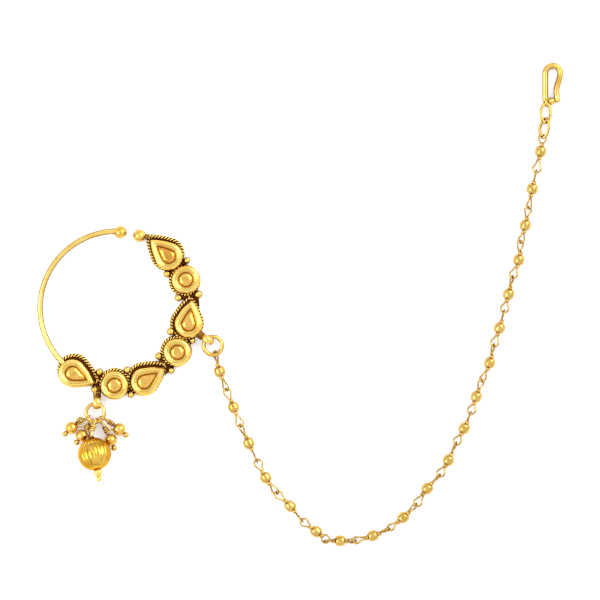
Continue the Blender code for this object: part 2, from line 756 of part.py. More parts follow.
def hook_route():
    """The hook's wire from its foot up the straight leg, over the bend and down the leg that is pinched in."""
    route = [Vector((0.0, HOOK_FOOT, 0.0)), Vector((0.0, (HOOK_FOOT + HOOK_LEG) / 2, 0.0))]
    for degrees in around(8, 180.0, 0.0, both_ends=True):
        route.append(polar(HOOK_BEND, degrees) + Vector((HOOK_BEND, HOOK_LEG, 0.0)))
    for share in (0.25, 0.5, 0.75, 1.0):
        inset = HOOK_WAIST_INSET * share * share * (3.0 - 2.0 * share)
        drop = HOOK_WAIST_DROP * share
        route.append(Vector((2 * HOOK_BEND - inset, HOOK_LEG - drop, 0.0)))
    for share in (0.5, 1.0):
        inset = HOOK_WAIST_INSET + (HOOK_TIP_INSET - HOOK_WAIST_INSET) * share * share
        drop = HOOK_WAIST_DROP + (HOOK_TIP_DROP - HOOK_WAIST_DROP) * share
        route.append(Vector((2 * HOOK_BEND - inset, HOOK_LEG - drop, 0.0)))
    return route


def hook_piece(link_end):
    """The hook, with the upright eye that holds the last oval link and the ball by the pinched leg."""
    up = Vector((0.0, 0.0, 1.0))
    foot = Vector((link_end.x - HOOK_EYE_ASIDE, link_end.y + HOOK_EYE_AHEAD, HOOK_WIRE / 2 + HOOK_CLEAR))
    frame = lying(foot, 0.0)
    wire = tube("wire", hook_route(), HOOK_WIRE / 2, 8, normal=up, frame=frame)
    tip = ball("tip", HOOK_WIRE / 2, frame @ hook_route()[-1], 8, 4)
    eye_radius = HOOK_EYE_HOLE + HOOK_EYE_WIRE / 2
    eye_place = Vector((link_end.x, foot.y, OVAL_HEIGHT))
    eye_frame = lying(eye_place, 90.0, 90.0)
    eye = circle_wire("eye", eye_radius, HOOK_EYE_WIRE, 10, 6, eye_frame)
    ball_place = foot + Vector((HOOK_BALL_ASIDE, HOOK_BALL_AHEAD, 0.0))
    ball_place.z = HOOK_BALL / 2
    joint = [frame @ Vector((0.0, 1.6 * HOOK_FOOT, 0.0)), ball_place]
    stub = tube("stub", joint, HOOK_WIRE / 3, 6, normal=up)
    end_ball = ball("ball", HOOK_BALL / 2, ball_place, 10, 6)
    return fuse("hook", [wire, tip, eye, stub, end_ball])


def centre_on_footprint(pieces):
    """Moves the jewel, by one parent, so that its footprint's middle is the origin and it stands on zero."""
    bpy.context.view_layer.update()
    corners = [piece.matrix_world @ Vector(corner) for piece in pieces for corner in exact_corners(piece)]
    low = Vector([min(corner[axis] for corner in corners) for axis in range(3)])
    high = Vector([max(corner[axis] for corner in corners) for axis in range(3)])
    layout = bpy.data.objects.new("nath_layout", None)
    bpy.context.scene.collection.objects.link(layout)
    layout.location = (-(low.x + high.x) / 2, -(low.y + high.y) / 2, -low.z)
    for piece in pieces:
        piece.parent = layout


def exact_corners(piece):
    return [vertex.co for vertex in piece.data.vertices]


def main():
    clear_scene()
    bright = metal("bright_gold", (0.86, 0.60, 0.22), 0.22)
    antique = metal("antique_gold", (0.80, 0.54, 0.18), 0.30)
    amber = foiled_glass("amber_glass", (0.74, 0.42, 0.12), 0.12)
    links, chain_end = chain_links()
    ovals, link_end = oval_links(chain_end)
    drops = [drop_bead(drop) for drop in DROPS] + [drop_pin(drop) for drop in DROPS]
    rings = [jump_ring(hanger) for hanger in (DROP_HANGER, CHAIN_HANGER)]
    golden = links + ovals + drops + rings + [hook_piece(link_end)]
    aged = [frame_piece(), melon_bead(), melon_pin()]
    stones = [stone(setting) for setting in SETTINGS]
    for group, surface in ((golden, bright), (aged, antique), (stones, amber)):
        for piece in group:
            finish(piece, surface)
    centre_on_footprint(golden + aged + stones)


main()
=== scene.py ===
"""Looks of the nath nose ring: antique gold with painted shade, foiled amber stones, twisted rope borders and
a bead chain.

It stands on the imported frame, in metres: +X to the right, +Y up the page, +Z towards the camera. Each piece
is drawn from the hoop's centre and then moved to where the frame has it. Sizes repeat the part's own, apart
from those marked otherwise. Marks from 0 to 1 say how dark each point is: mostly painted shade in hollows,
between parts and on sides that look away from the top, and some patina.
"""

import math
from collections import namedtuple

import bpy
import numpy as np
from mathutils import Matrix, Vector

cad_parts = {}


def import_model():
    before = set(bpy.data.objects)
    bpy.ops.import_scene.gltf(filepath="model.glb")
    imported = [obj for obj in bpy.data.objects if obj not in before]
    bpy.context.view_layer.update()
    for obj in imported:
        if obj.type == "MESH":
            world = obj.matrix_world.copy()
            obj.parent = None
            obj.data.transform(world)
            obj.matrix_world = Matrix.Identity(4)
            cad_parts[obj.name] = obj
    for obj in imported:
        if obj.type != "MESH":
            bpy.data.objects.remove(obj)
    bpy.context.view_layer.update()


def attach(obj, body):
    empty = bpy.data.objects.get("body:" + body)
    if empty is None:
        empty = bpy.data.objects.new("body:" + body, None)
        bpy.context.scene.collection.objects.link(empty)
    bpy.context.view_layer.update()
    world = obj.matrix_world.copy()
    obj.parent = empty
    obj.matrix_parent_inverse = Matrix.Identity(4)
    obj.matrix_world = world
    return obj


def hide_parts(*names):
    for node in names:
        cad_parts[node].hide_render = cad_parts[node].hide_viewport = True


MM = 0.001
UP = Vector((0.0, 0.0, 1.0))
HOOP_CENTRE = Vector((-0.047677, -0.000914, 0.0))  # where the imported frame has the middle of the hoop

# Hoop
HOOP_RADIUS = 20.0 * MM
HOOP_WIRE = 1.4 * MM
HOOP_HEIGHT = 1.45 * MM
HOOP_END_BALL = 3.2 * MM
HOOP_END_INSET = 0.3 * MM
HOOP_BARE_DEG = (87.4, 227.5)
HOOP_NECK_DEG = (67.6, 72.8)  # not from the part
HOOP_SIDES = 20

# Settings
ROUND_SIDE = 3.65 * MM
PEAR_SIDE = 3.60 * MM
PEAR_TIP = 6.45 * MM
TIP_SPREAD = 1.45
FLANK_BULGE = 0.045
FLANK_SHARE = 0.24
BAND_HEIGHT = 2.2 * MM
CREST_HEIGHT = 3.2 * MM
CREST_INSET = 0.92 * MM
LIP_HEIGHT = 2.7 * MM
WELL_INSET = 1.65 * MM
SEAT_HEIGHT = 1.9 * MM
CUP_FOOT = 0.5 * MM
PEAR_ROPE_REACH = 0.85 * MM
ROUND_ROPE_REACH = 0.50 * MM
ROPE_WIDTH = 1.15 * MM  # not from the part
ROPE_HEIGHT = 1.45 * MM
ROPE_PITCH = 1.65 * MM  # not from the part
ROPE_STRAND_SHARE = 0.19
ROPE_PITCH_STEPS = 12
ROPE_COARSE_STEPS = 720
ROUND_LIFT = 0.1 * MM
OUTLINE_STEPS = 96

# Stones
STONE_GAP = 0.12 * MM
STONE_GIRDLE = 0.30 * MM
STONE_CROWN = 0.40 * MM
STONE_BEVEL = 0.35 * MM
STONE_TABLE_SHARE = 0.55
STONE_KITE_RISE = 0.62
STONE_FACETS = 12
SHADED_STONE = "pear_1"  # its facets get painted shade at both sides

# Plate, bars and granules
PLATE_INNER = 2.2 * MM
PLATE_OUTER = 1.4 * MM
PLATE_BOTTOM = 0.15 * MM
PLATE_TOP = 0.9 * MM
PLATE_ROUND_OFF = 0.12 * MM
PLATE_DEG = (-127.0, 58.0)
BAR_WIDTH = 1.5 * MM
BAR_BOTTOM = 0.25 * MM
BAR_TOP = 1.1 * MM
BAR_ROUND_OFF = 0.15 * MM
GRANULE_HEIGHT = 1.35 * MM
GRANULE_SWELL = 1.04  # not from the part

# Loops and rings
LOOP_OUTER = 1.75 * MM
LOOP_HOLE = 0.85 * MM
LOOP_WIDTH = 1.75 * MM  # not from the part
LOOP_HEIGHT = 1.8 * MM
LOOP_STEM = 3.0 * MM
LOOP_STEM_WIDTH = 2.0 * MM  # not from the part
RING_SIDES = 16

# Drops and melon bead
DROP_BEAD = 3.2 * MM
DROP_WIRE = 0.46 * MM
DROP_EYE_RADIUS = 0.80 * MM
DROP_HEAD = 1.5 * MM
DROP_WRAP = 1.65 * MM  # not from the part
DROP_WRAP_GAP = 0.2 * MM
DROP_WRAP_TURNS = 3.0  # not from the part
DROP_WRAP_PITCH = 1.25 * DROP_WIRE
TAIL_THICKNESS = 0.85 * DROP_WIRE
DROP_HOLE_GAP = 0.1 * MM
MELON_BEAD = 8.6 * MM
MELON_WIRE = 0.60 * MM
MELON_HOLE_GAP = 0.12 * MM
MELON_RIBS = 21  # not from the part
MELON_RIB_STEPS = 10
MELON_GROOVE = 0.20 * MM  # not from the part
MELON_WORN_DEG = 112.0
MELON_WORN_SPREAD_DEG = 26.0
MELON_WORN_ALONG = -0.17
MELON_WORN_LENGTH = 0.2
MELON_WORN_DEPTH = 0.75
MELON_DISTANCE = 10.58 * MM
MELON_DIRECTION_DEG = -90.4
MELON_AXIS_DEG = 101.5
MELON_NOSE_DOWN_DEG = 14.0
MELON_EYE_DEG = -90.0
MELON_CONE = 2.2 * MM
MELON_CONE_STEPS = (0.2, 0.35, 0.5, 0.7, 0.9, 1.1, 1.3, 1.5)
MELON_CONE_WIDEST = 0.45
MELON_CONE_TAPER = 1.12
MELON_BALL = 1.5 * MM
MELON_WRAP = 1.5 * MM

# Chain, oval links and hook
CHAIN_BEAD = 2.8 * MM
CHAIN_BEAD_LENGTH = 2.7 * MM
CHAIN_BEAD_FULLNESS = 2.9
CHAIN_WIRE = 0.5 * MM
COLLAR_LENGTH = 1.1 * MM
COLLAR_WIDTH = 1.25 * MM
COLLAR_TURNS = 2.5
EYE_WIDTH = 2.10 * MM  # not from the part
EYE_ARC_DEG = 138.0
EYE_SIDES = 10
EYE_OVERLAP = 0.30 * MM
EYE_SHORTEST = 1.7 * MM
RING_GAP = 0.1 * MM
CHAIN_START_DEG = -72.8
OVAL_LENGTH = 5.75 * MM
OVAL_WIDTH = 3.5 * MM
OVAL_WIRE = 0.74 * MM
OVAL_GAP = 0.1 * MM
OVAL_OVERLAP = 1.09 * MM
OVAL_HEIGHT = 1.25 * MM
OVAL_SIDES = 14
HOOK_WIRE = 1.48 * MM
HOOK_SIDES = 20
HOOK_CLEAR = 0.1 * MM
HOOK_FOOT = 0.75 * MM
HOOK_BEND = 1.95 * MM
HOOK_LEG = 7.8 * MM
HOOK_WAIST_DROP = 4.6 * MM
HOOK_WAIST_INSET = 1.00 * MM
HOOK_TIP_DROP = 7.0 * MM
HOOK_TIP_INSET = 0.70 * MM
HOOK_BALL = 1.95 * MM
HOOK_BALL_ASIDE = 1.60 * MM
HOOK_BALL_AHEAD = 0.5 * MM
HOOK_EYE_WIRE = 0.62 * MM
HOOK_EYE_HOLE = 0.50 * MM
HOOK_EYE_ASIDE = 0.2 * MM
HOOK_EYE_AHEAD = 0.13 * MM

# A setting stands at a turn round the hoop and a share of its radius. A pear's tip is turned off the tangent.
# The plate with the rope border lies a little to one side under its band
Setting = namedtuple("Setting", "name kind around_deg radius_share tip_off_deg plate_shift plate_shift_deg")
SETTINGS = (
    Setting("pear_1", "pear", 44.8, 0.951, 3.3, 0.00075, 120.0),
    Setting("round_1", "round", 22.4, 0.969, 0.0, 0.00045, 215.0),
    Setting("pear_2", "pear", -12.6, 0.955, 5.2, 0.00055, 160.0),
    Setting("round_2", "round", -36.1, 0.975, 0.0, 0.0005, 144.0),
    Setting("pear_3", "pear", -69.6, 1.024, 13.6, 0.0008, 110.0),
    Setting("round_3", "round", -91.8, 1.005, 0.0, 0.0004, 88.0),
    Setting("pear_4", "pear", -124.3, 1.025, 9.7, 0.0008, 60.0),
)

Granules = namedtuple("Granules", "around_deg inner_share outer_share inner_mm outer_mm")
GRANULES = (
    Granules(34.3, 0.788, 1.101, 0.91, 0.83),
    Granules(9.6, 0.808, 1.073, 0.94, 0.99),
    Granules(-23.5, 0.762, 1.068, 0.96, 0.75),
    Granules(-49.0, 0.825, 1.075, 0.91, 0.83),
    Granules(-80.8, 0.814, 1.138, 0.91, 0.86),
    Granules(-105.3, 0.861, 1.095, 0.91, 0.91),
)

HANGER_FIELDS = "name around_deg reach axis_deg ring_outer ring_wire ring_deg ring_ahead ring_rise"
Hanger = namedtuple("Hanger", HANGER_FIELDS)
DROP_HANGER = Hanger("drop_jump_ring", -102.0, 0.00515, -92.0, 0.00565, 0.00092, -99.0, 0.00033, 0.00015)
CHAIN_HANGER = Hanger("chain_jump_ring", -19.1, 0.0049, -30.6, 0.0058, 0.00104, -49.3, -0.00020, -0.00040)

Drop = namedtuple("Drop", "name ring_deg bead_x bead_y head_deg tail_deg")
DROPS = (
    Drop("drop_1", 208.0, -0.00619, -0.00385, 224.0, 60.0),
    Drop("drop_2", 244.0, -0.00346, -0.00585, 233.0, 200.0),
    Drop("drop_3", 326.0, 0.00624, -0.00424, -40.0, -60.0),
    Drop("drop_4", 298.0, 0.00403, -0.00702, -68.0, 150.0),
)

# Loose wires curl and cross by the drops: millimetres from the bead's centre
TAILS = {
    "drop_1": (
        ((1.2, 1.0, -0.1), (1.25, 1.7, 0.1), (1.45, 2.35, 0.3), (2.0, 2.65, 0.4), (2.6, 2.75, 0.4)),
        ((1.5, 0.2, -0.2), (2.4, 0.1, 0.1), (3.3, 0.5, 0.4), (4.2, 1.2, 0.6), (5.1, 2.1, 0.6)),
        ((1.3, 0.7, 0.1), (2.1, 0.9, 0.5), (3.0, 1.4, 0.6), (3.9, 2.1, 0.6)),
    ),
    "drop_2": (
        ((1.5, -0.5, -0.3), (2.0, 0.2, 0.1), (1.9, 0.9, 0.5), (1.2, 1.5, 0.5)),
    ),
    "drop_3": (
        ((-1.25, 1.15, -0.1), (-2.1, 1.6, 0.2), (-2.8, 2.15, 0.4), (-3.4, 2.7, 0.5)),
        ((-1.5, -0.2, -0.2), (-2.4, 0.1, 0.2), (-3.2, 0.8, 0.5), (-4.4, 2.3, 0.6)),
    ),
}

# The chain's route, listed link by link: where each link ends, measured from the chain ring's centre, how far
# its first and last eye are rolled out of the flat, and how many millimetres its bead sits off its middle
ChainLink = namedtuple("ChainLink", "end_x end_y first_roll_deg last_roll_deg bead_x_mm bead_y_mm")
CHAIN_ROUTE = (
    ChainLink(0.00351, -0.01144, 60, 50, -0.3, -0.1),
    ChainLink(0.00715, -0.02072, -30, 15, 0, 0.1),
    ChainLink(0.01144, -0.02995, -60, 90, 0, 0),
    ChainLink(0.01656, -0.03827, 0, 42, -0.3, -0.2),
    ChainLink(0.02314, -0.04550, -30, 85, 0.2, 0.2),
    ChainLink(0.02984, -0.05070, 10, 5, 0.35, -0.2),
    ChainLink(0.03655, -0.05075, 90, 62, -0.1, 0),
    ChainLink(0.04568, -0.04763, -38, 72, 0.45, -0.2),
    ChainLink(0.05278, -0.04134, -45, 58, 0.2, -0.2),
    ChainLink(0.05886, -0.03367, -10, 75, -0.1, 0.4),
    ChainLink(0.06318, -0.02540, -20, 75, 0.2, -0.2),
    ChainLink(0.06700, -0.01747, -20, 90, 0.2, 0),
    ChainLink(0.06991, -0.00902, 5, 45, 0, 0),
    ChainLink(0.07298, 0.00013, -50, 68, 0.5, 0),
    ChainLink(0.07566, 0.00897, -20, 90, 0.2, 0.1),
    ChainLink(0.07787, 0.01789, 10, 68, 0.1, 0),
    ChainLink(0.08000, 0.02699, -20, 42, 0.6, -0.1),
    ChainLink(0.08203, 0.03588, -48, 35, 0.2, -0.1),
    ChainLink(0.08403, 0.04532, -58, 85, 0, 0.2),
    ChainLink(0.08580, 0.05455, -5, 20, 0.3, 0.6),
)
OvalLink = namedtuple("OvalLink", "name heading_deg roll_deg")
OVAL_LINKS = (
    OvalLink("oval_link_2", 80.5, -38.0),
    OvalLink("oval_link_1", 88.7, 20.0),
)

# Each gold has two tones, its dark tone for painted shade and patina, its roughness from and to, and how fine
# and how strong its dents are
Gold = namedtuple("Gold", "pale deep patina rough dent_scale dent")
GOLDS = {
    "polished_gold": Gold(
        (0.90, 0.62, 0.18), (0.80, 0.47, 0.08), (0.12, 0.03, 0.004), (0.10, 0.22), 1500.0, 0.10
    ),
    "antique_gold": Gold(
        (0.99, 0.74, 0.23), (0.93, 0.61, 0.13), (0.11, 0.028, 0.003), (0.12, 0.26), 1200.0, 0.16
    ),
    # A darker copy of the polished gold: painted shade for the thin wires of the drops and the chain
    "shaded_wire_gold": Gold(
        (0.73, 0.50, 0.16), (0.61, 0.37, 0.08), (0.12, 0.03, 0.004), (0.10, 0.24), 1500.0, 0.14
    ),
    "ribbed_gold": Gold(
        (0.82, 0.52, 0.09), (0.66, 0.35, 0.035), (0.13, 0.032, 0.003), (0.14, 0.26), 1100.0, 0.16
    ),
    "beaten_gold": Gold(
        (0.93, 0.66, 0.18), (0.80, 0.48, 0.08), (0.085, 0.020, 0.002), (0.14, 0.28), 900.0, 0.5
    ),
}
GOLD_EDGE_TINT = (0.62, 0.34, 0.10)
AMBER_PALE = (0.90, 0.56, 0.13)
AMBER_DEEP = (0.60, 0.24, 0.02)
FLOOR_TONES = ((0.86, 0.87, 0.88), (0.88, 0.89, 0.90))
NOISE_SPAN = (0.3, 0.7)
BUMP_DEPTH = 0.02 * MM
FLANK_SHADE = 0.42  # how much painted shade is put on sides that look away from the top

# Stage
CAMERA_PLACE = (-0.00010, 0.00119, 1.0848)
CAMERA_LENS = 250.0
CAMERA_REACH = 20.0
FLOOR_SIZE = 3.0
FLOOR_DROP = 0.02 * MM
FLOOR_GLOW = 0.32
DOME_STRENGTH = 1.0
DOME_STOPS = ((0.0, 0.40), (0.12, 0.46), (0.36, 0.98), (0.80, 1.08), (1.0, 0.95))  # height and brightness
Light = namedtuple("Light", "name around_deg rise_deg distance size watts")
LIGHTS = (
    Light("key", 35.0, 38.0, 1.2, 1.0, 7.5),
    Light("fill", 190.0, 42.0, 1.2, 0.8, 5.5),
)

# Steps in one turn of a coil, and sides of the thinnest wires
COIL_STEPS = 14
THIN_SIDES = 8
# A skin's points, its faces, and its marks of painted shade and patina
Shell = namedtuple("Shell", "points faces recess")


# Places and frames


def polar(radius, degrees, height=0.0):
    angle = math.radians(degrees)
    return Vector((radius * math.cos(angle), radius * math.sin(angle), height))


def spaced(first, last, count):
    """A count of evenly spaced values, with both ends."""
    return np.linspace(first, last, count)


def ring_angles(count):
    return np.linspace(0.0, 2.0 * math.pi, count, endpoint=False)


def lying(place, heading_deg, roll_deg=0.0):
    """A frame with X along a heading on the page, turned about that X by a roll."""
    turn = Matrix.Rotation(math.radians(heading_deg), 4, "Z")
    return Matrix.Translation(place) @ turn @ Matrix.Rotation(math.radians(roll_deg), 4, "X")


def aimed(place, direction):
    """A frame with X along a direction, Y level and Z as near to up as it can be."""
    forward = direction.normalized()
    side = UP.cross(forward).normalized()
    turn = Matrix((forward, side, forward.cross(side))).transposed().to_4x4()
    return Matrix.Translation(place) @ turn


def upright(frame):
    return frame @ Matrix.Rotation(math.radians(90.0), 4, "X")


def moved(points, frame):
    """An array of points, taken into a frame."""
    turn = np.array(frame)
    return np.asarray(points, float) @ turn[:3, :3].T + turn[:3, 3]


def smooth_step(low, high, value):
    share = np.clip((np.asarray(value, float) - low) / (high - low), 0.0, 1.0)
    return share * share * (3.0 - 2.0 * share)


# Meshes


def shell(rows, looped=False, recess=0.0):
    """A closed skin over rows of points, each row a ring. Open ends close to a point in their middle."""
    rows = np.asarray(rows, float)
    count, sides = rows.shape[:2]
    points = rows.reshape(-1, 3)
    marks = np.broadcast_to(np.asarray(recess, float), (count, sides)).reshape(-1)
    near, spot = np.meshgrid(np.arange(count if looped else count - 1), np.arange(sides), indexing="ij")
    far, following = (near + 1) % count, (spot + 1) % sides
    corners = (near * sides + spot, near * sides + following, far * sides + following, far * sides + spot)
    faces = np.stack(corners, axis=-1).reshape(-1, 4).tolist()
    if not looped:
        points = np.concatenate([points, [rows[0].mean(axis=0), rows[-1].mean(axis=0)]])
        marks = np.concatenate([marks, [marks[0], marks[-1]]])
        around, following = np.arange(sides), (np.arange(sides) + 1) % sides
        tip, last = np.full(sides, count * sides), (count - 1) * sides
        faces += np.stack([tip, following, around], axis=-1).tolist()
        faces += np.stack([tip + 1, last + around, last + following], axis=-1).tolist()
    return facing_out(points, faces, marks)


def facing_out(points, faces, marks):
    """A closed skin whose faces all look outward, if they agree with each other."""
    fans = [(face[0], face[i], face[i + 1]) for face in faces for i in range(1, len(face) - 1)]
    a, b, c = (points[np.array(fans)[:, i]] for i in range(3))
    if np.einsum("ij,ij->i", a - points[0], np.cross(b - points[0], c - points[0])).sum() < 0.0:
        faces = [face[::-1] for face in faces]
    return Shell(points, faces, marks)


def placed(name, data):
    """A new object in the scene."""
    made = bpy.data.objects.new(name, data)
    bpy.context.scene.collection.objects.link(made)
    return made


def piece(name, shells, surface, nodes=(), sharp_deg=38.0):
    """One object from closed skins drawn round the hoop's centre. It may stand for some nodes."""
    faces, start = [], 0
    for skin in shells:
        faces += [[corner + start for corner in face] for face in skin.faces]
        start += len(skin.points)
    points = np.concatenate([skin.points for skin in shells]) + np.array(HOOP_CENTRE)
    mesh = bpy.data.meshes.new(name)
    mesh.from_pydata(points.tolist(), [], faces)
    mesh.materials.append(surface)
    mesh.shade_smooth()
    mesh.set_sharp_from_angle(angle=math.radians(sharp_deg))
    # Sides that look away from the top get painted shade, on top of each skin's marks
    facing = np.zeros(3 * len(mesh.vertices), dtype=np.float32)
    mesh.vertex_normals.foreach_get("vector", facing)
    flank = FLANK_SHADE * (1.0 - smooth_step(0.1, 0.55, facing[2::3]))
    marks = np.clip(np.concatenate([skin.recess for skin in shells]) + flank, 0.0, 1.0)
    mesh.attributes.new("recess", "FLOAT", "POINT").data.foreach_set("value", marks)
    made = placed(name, mesh)
    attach(made, "root")
    if nodes:
        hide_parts(*nodes)


def unit(rows):
    return rows / np.linalg.norm(rows, axis=-1, keepdims=True)


def loop_tangents(path):
    return unit(np.roll(path, -1, axis=0) - np.roll(path, 1, axis=0))


def path_frames(path, looped, normal):
    """Each point's two cross directions. A flat path is given its plane's normal."""
    tangents = loop_tangents(path) if looped else unit(np.gradient(path, axis=0))
    if normal is not None:
        ups = np.broadcast_to(np.array(normal, float), path.shape)
    else:
        up = np.array(Vector(tangents[0]).orthogonal())
        ups = []
        for tangent in tangents:
            up = up - tangent * up.dot(tangent)
            up = up / np.linalg.norm(up)
            ups.append(up)
        ups = np.array(ups)
    return unit(np.cross(ups, tangents)), ups


def circled(first, second, sides):
    """For each point of a path, the directions all round it, from its first cross direction to its second."""
    angles = ring_angles(sides)
    return np.cos(angles)[:, None] * first[:, None, :] + np.sin(angles)[:, None] * second[:, None, :]


def tube(path, radius, sides, looped=False, normal=None, recess=0.0, frame=Matrix()):
    """A wire's skin along a path. The radius is one number, or one for each point."""
    path = np.asarray(path, float)
    reach = np.broadcast_to(np.asarray(radius, float), len(path))[:, None, None]
    spread = circled(*path_frames(path, looped, normal), sides)
    return shell(moved(path[:, None, :] + reach * spread, frame), looped, recess)


def rounded(path, radius, steps=5):
    """An open path with its two ends rounded off: the longer path and its radii."""
    path = np.asarray(path, float)
    ahead = unit(path[-1] - path[-2])
    behind = unit(path[0] - path[1])
    angles = spaced(0.0, 0.47 * math.pi, steps)[1:]
    end = [path[-1] + ahead * radius * math.sin(angle) for angle in angles]
    start = [path[0] + behind * radius * math.sin(angle) for angle in reversed(angles)]
    caps = [radius * math.cos(angle) for angle in angles]
    radii = caps[::-1] + [radius] * len(path) + caps
    return np.concatenate([start, path, end]), np.array(radii)


def wire(path, radius, sides, normal=None, recess=0.0, frame=Matrix()):
    """An open wire with rounded ends."""
    longer, radii = rounded(path, radius)
    return tube(longer, radii, sides, normal=normal, recess=recess, frame=frame)


def turned(along, reach, angles):
    """Points at some turns about X."""
    return np.stack([along + 0.0 * angles, reach * np.cos(angles), reach * np.sin(angles)], axis=-1)


def lathe(profile, sides, frame, recess=0.0, looped=False):
    """A skin turned about X from rows of (along, radius). Its marks of painted shade and patina are one
    number, or one for each row.
    """
    profile = np.asarray(profile, float)
    rows = turned(profile[:, :1], profile[:, 1:], ring_angles(sides))
    return shell(moved(rows, frame), looped, np.atleast_1d(recess)[:, None])


def arc_rows(along, radius, steps, first_deg=-87.0, last_deg=87.0):
    """Rows of (along, radius) over a ball's surface."""
    angles = np.radians(spaced(first_deg, last_deg, steps))
    return np.stack([along + radius * np.sin(angles), radius * np.cos(angles)], axis=-1)


def ball(radius, centre, sides, shaded_below=None):
    """A ball with its poles up and down. Below a share of its radius it may get painted shade."""
    rows = arc_rows(0.0, radius, sides // 2)
    marks = 0.0
    if shaded_below is not None:
        marks = 1.0 - smooth_step(shaded_below - 0.35, shaded_below + 0.25, rows[:, 0] / radius)
    frame = Matrix.Translation(centre) @ Matrix.Rotation(math.radians(-90.0), 4, "Y")
    return lathe(rows, sides, frame, marks)


def side_shaded(sides, middle, edge):
    """Marks round a flat-lying wire: one value on top and below, and painted shade added towards its two
    sides.
    """
    return middle + edge * smooth_step(0.55, 1.0, np.abs(np.cos(ring_angles(sides))))


def oval_wire(length, width, thickness, steps, sides, frame, recess=0.0):
    """A closed wire round an oval. Its length and width are those of the wire's middle line."""
    angles = ring_angles(steps)
    path = np.stack([length / 2 * np.cos(angles), width / 2 * np.sin(angles), 0.0 * angles], axis=-1)
    return tube(path, thickness / 2, sides, looped=True, normal=UP, frame=frame, recess=recess)


def circle_wire(radius, thickness, steps, sides, frame, recess=0.0):
    return oval_wire(2 * radius, 2 * radius, thickness, steps, sides, frame, recess)


def coil(start, length, turns, coil_radius, wire_radius, frame, first_deg=0.0, first_share=1.0):
    """A wire wound about X, starting at a share of its radius. Its inner side gets painted shade."""
    count = int(turns * COIL_STEPS) + 1
    angles = spaced(0.0, turns * 2.0 * math.pi, count) + math.radians(first_deg)
    reach = coil_radius * spaced(first_share, 1.0, count)
    path = turned(spaced(start, start + length, count), reach, angles)
    longer, radii = rounded(path, wire_radius, 3)
    spread = circled(*path_frames(longer, False, None), THIN_SIDES)
    outward = unit(longer * np.array([0.0, 1.0, 1.0]))
    marks = 1.0 - smooth_step(-0.25, 0.55, np.einsum("ijk,ik->ij", spread, outward))
    return shell(moved(longer[:, None, :] + radii[:, None, None] * spread, frame), recess=marks)


# Materials


def new_material(name):
    made = bpy.data.materials.new(name)
    made.use_nodes = True
    return made, made.node_tree, made.node_tree.nodes["Principled BSDF"]


def noise(tree, scale, detail=3.0, roughness=0.55):
    """A noise in the object's own metres."""
    place = tree.nodes.new("ShaderNodeTexCoord")
    made = tree.nodes.new("ShaderNodeTexNoise")
    made.inputs["Scale"].default_value = scale
    made.inputs["Detail"].default_value = detail
    made.inputs["Roughness"].default_value = roughness
    tree.links.new(place.outputs["Object"], made.inputs["Vector"])
    return made.outputs["Fac"]


def ranged(tree, value, span, target=(0.0, 1.0)):
    """A value taken from one span to another, and held at both ends."""
    made = tree.nodes.new("ShaderNodeMapRange")
    for socket, number in zip(("From Min", "From Max", "To Min", "To Max"), (*span, *target)):
        made.inputs[socket].default_value = number
    tree.links.new(value, made.inputs["Value"])
    return made.outputs["Result"]


# The marks of painted shade and patina that each piece carries
def shade_and_patina_mark(tree):
    made = tree.nodes.new("ShaderNodeAttribute")
    made.attribute_name = "recess"
    return made.outputs["Fac"]


def mixed(tree, share, first, second):
    """A colour mix. Each colour is a tuple or another node's output."""
    made = tree.nodes.new("ShaderNodeMix")
    made.data_type = "RGBA"
    tree.links.new(share, made.inputs["Factor"])
    for socket, colour in ((made.inputs["A"], first), (made.inputs["B"], second)):
        if isinstance(colour, tuple):
            socket.default_value = (*colour, 1.0)
        else:
            tree.links.new(colour, socket)
    return made.outputs["Result"]


def bumped(tree, shader, height, strength):
    made = tree.nodes.new("ShaderNodeBump")
    made.inputs["Strength"].default_value = strength
    made.inputs["Distance"].default_value = BUMP_DEPTH
    tree.links.new(height, made.inputs["Height"])
    tree.links.new(made.outputs["Normal"], shader.inputs["Normal"])


def gold(name, look):
    """Cast gold: cloudy colour, fine dents, uneven polish, and a dark tone laid on by the marks, which paint
    shade and patina.
    """
    made, tree, shader = new_material(name)
    shader.inputs["Metallic"].default_value = 1.0
    shader.inputs["Specular Tint"].default_value = (*GOLD_EDGE_TINT, 1.0)
    cloud = ranged(tree, noise(tree, scale=420.0), (0.35, 0.68))
    frayed = tree.nodes.new("ShaderNodeMath")
    frayed.operation = "ADD"
    tree.links.new(shade_and_patina_mark(tree), frayed.inputs[0])
    tree.links.new(ranged(tree, noise(tree, scale=2600.0), NOISE_SPAN, (-0.16, 0.16)), frayed.inputs[1])
    dark = ranged(tree, frayed.outputs["Value"], (0.25, 0.8))
    bare = mixed(tree, cloud, look.pale, look.deep)
    tree.links.new(mixed(tree, dark, bare, look.patina), shader.inputs["Base Color"])
    polish = ranged(tree, noise(tree, scale=900.0, detail=4.0), NOISE_SPAN, look.rough)
    tree.links.new(polish, shader.inputs["Roughness"])
    bumped(tree, shader, noise(tree, look.dent_scale, detail=2.0), look.dent)
    return made


def foiled_stone():
    """A stone over gold foil: its facets mirror the light in amber tones under a clear polish."""
    made, tree, shader = new_material("amber_foil_glass")
    shader.inputs["Metallic"].default_value = 0.92
    shader.inputs["Coat Weight"].default_value = 0.3
    shader.inputs["Coat Roughness"].default_value = 0.03
    cloud = ranged(tree, noise(tree, scale=700.0), (0.35, 0.65))
    half_deep = tuple(0.5 * (pale + deep) for pale, deep in zip(AMBER_PALE, AMBER_DEEP))
    warm = mixed(tree, cloud, AMBER_PALE, half_deep)
    # The marks paint shade in deep amber
    tree.links.new(mixed(tree, shade_and_patina_mark(tree), warm, AMBER_DEEP), shader.inputs["Base Color"])
    polish = ranged(tree, noise(tree, scale=1500.0), NOISE_SPAN, (0.10, 0.22))
    tree.links.new(polish, shader.inputs["Roughness"])
    bumped(tree, shader, noise(tree, scale=1800.0, detail=1.0), 0.10)
    return made


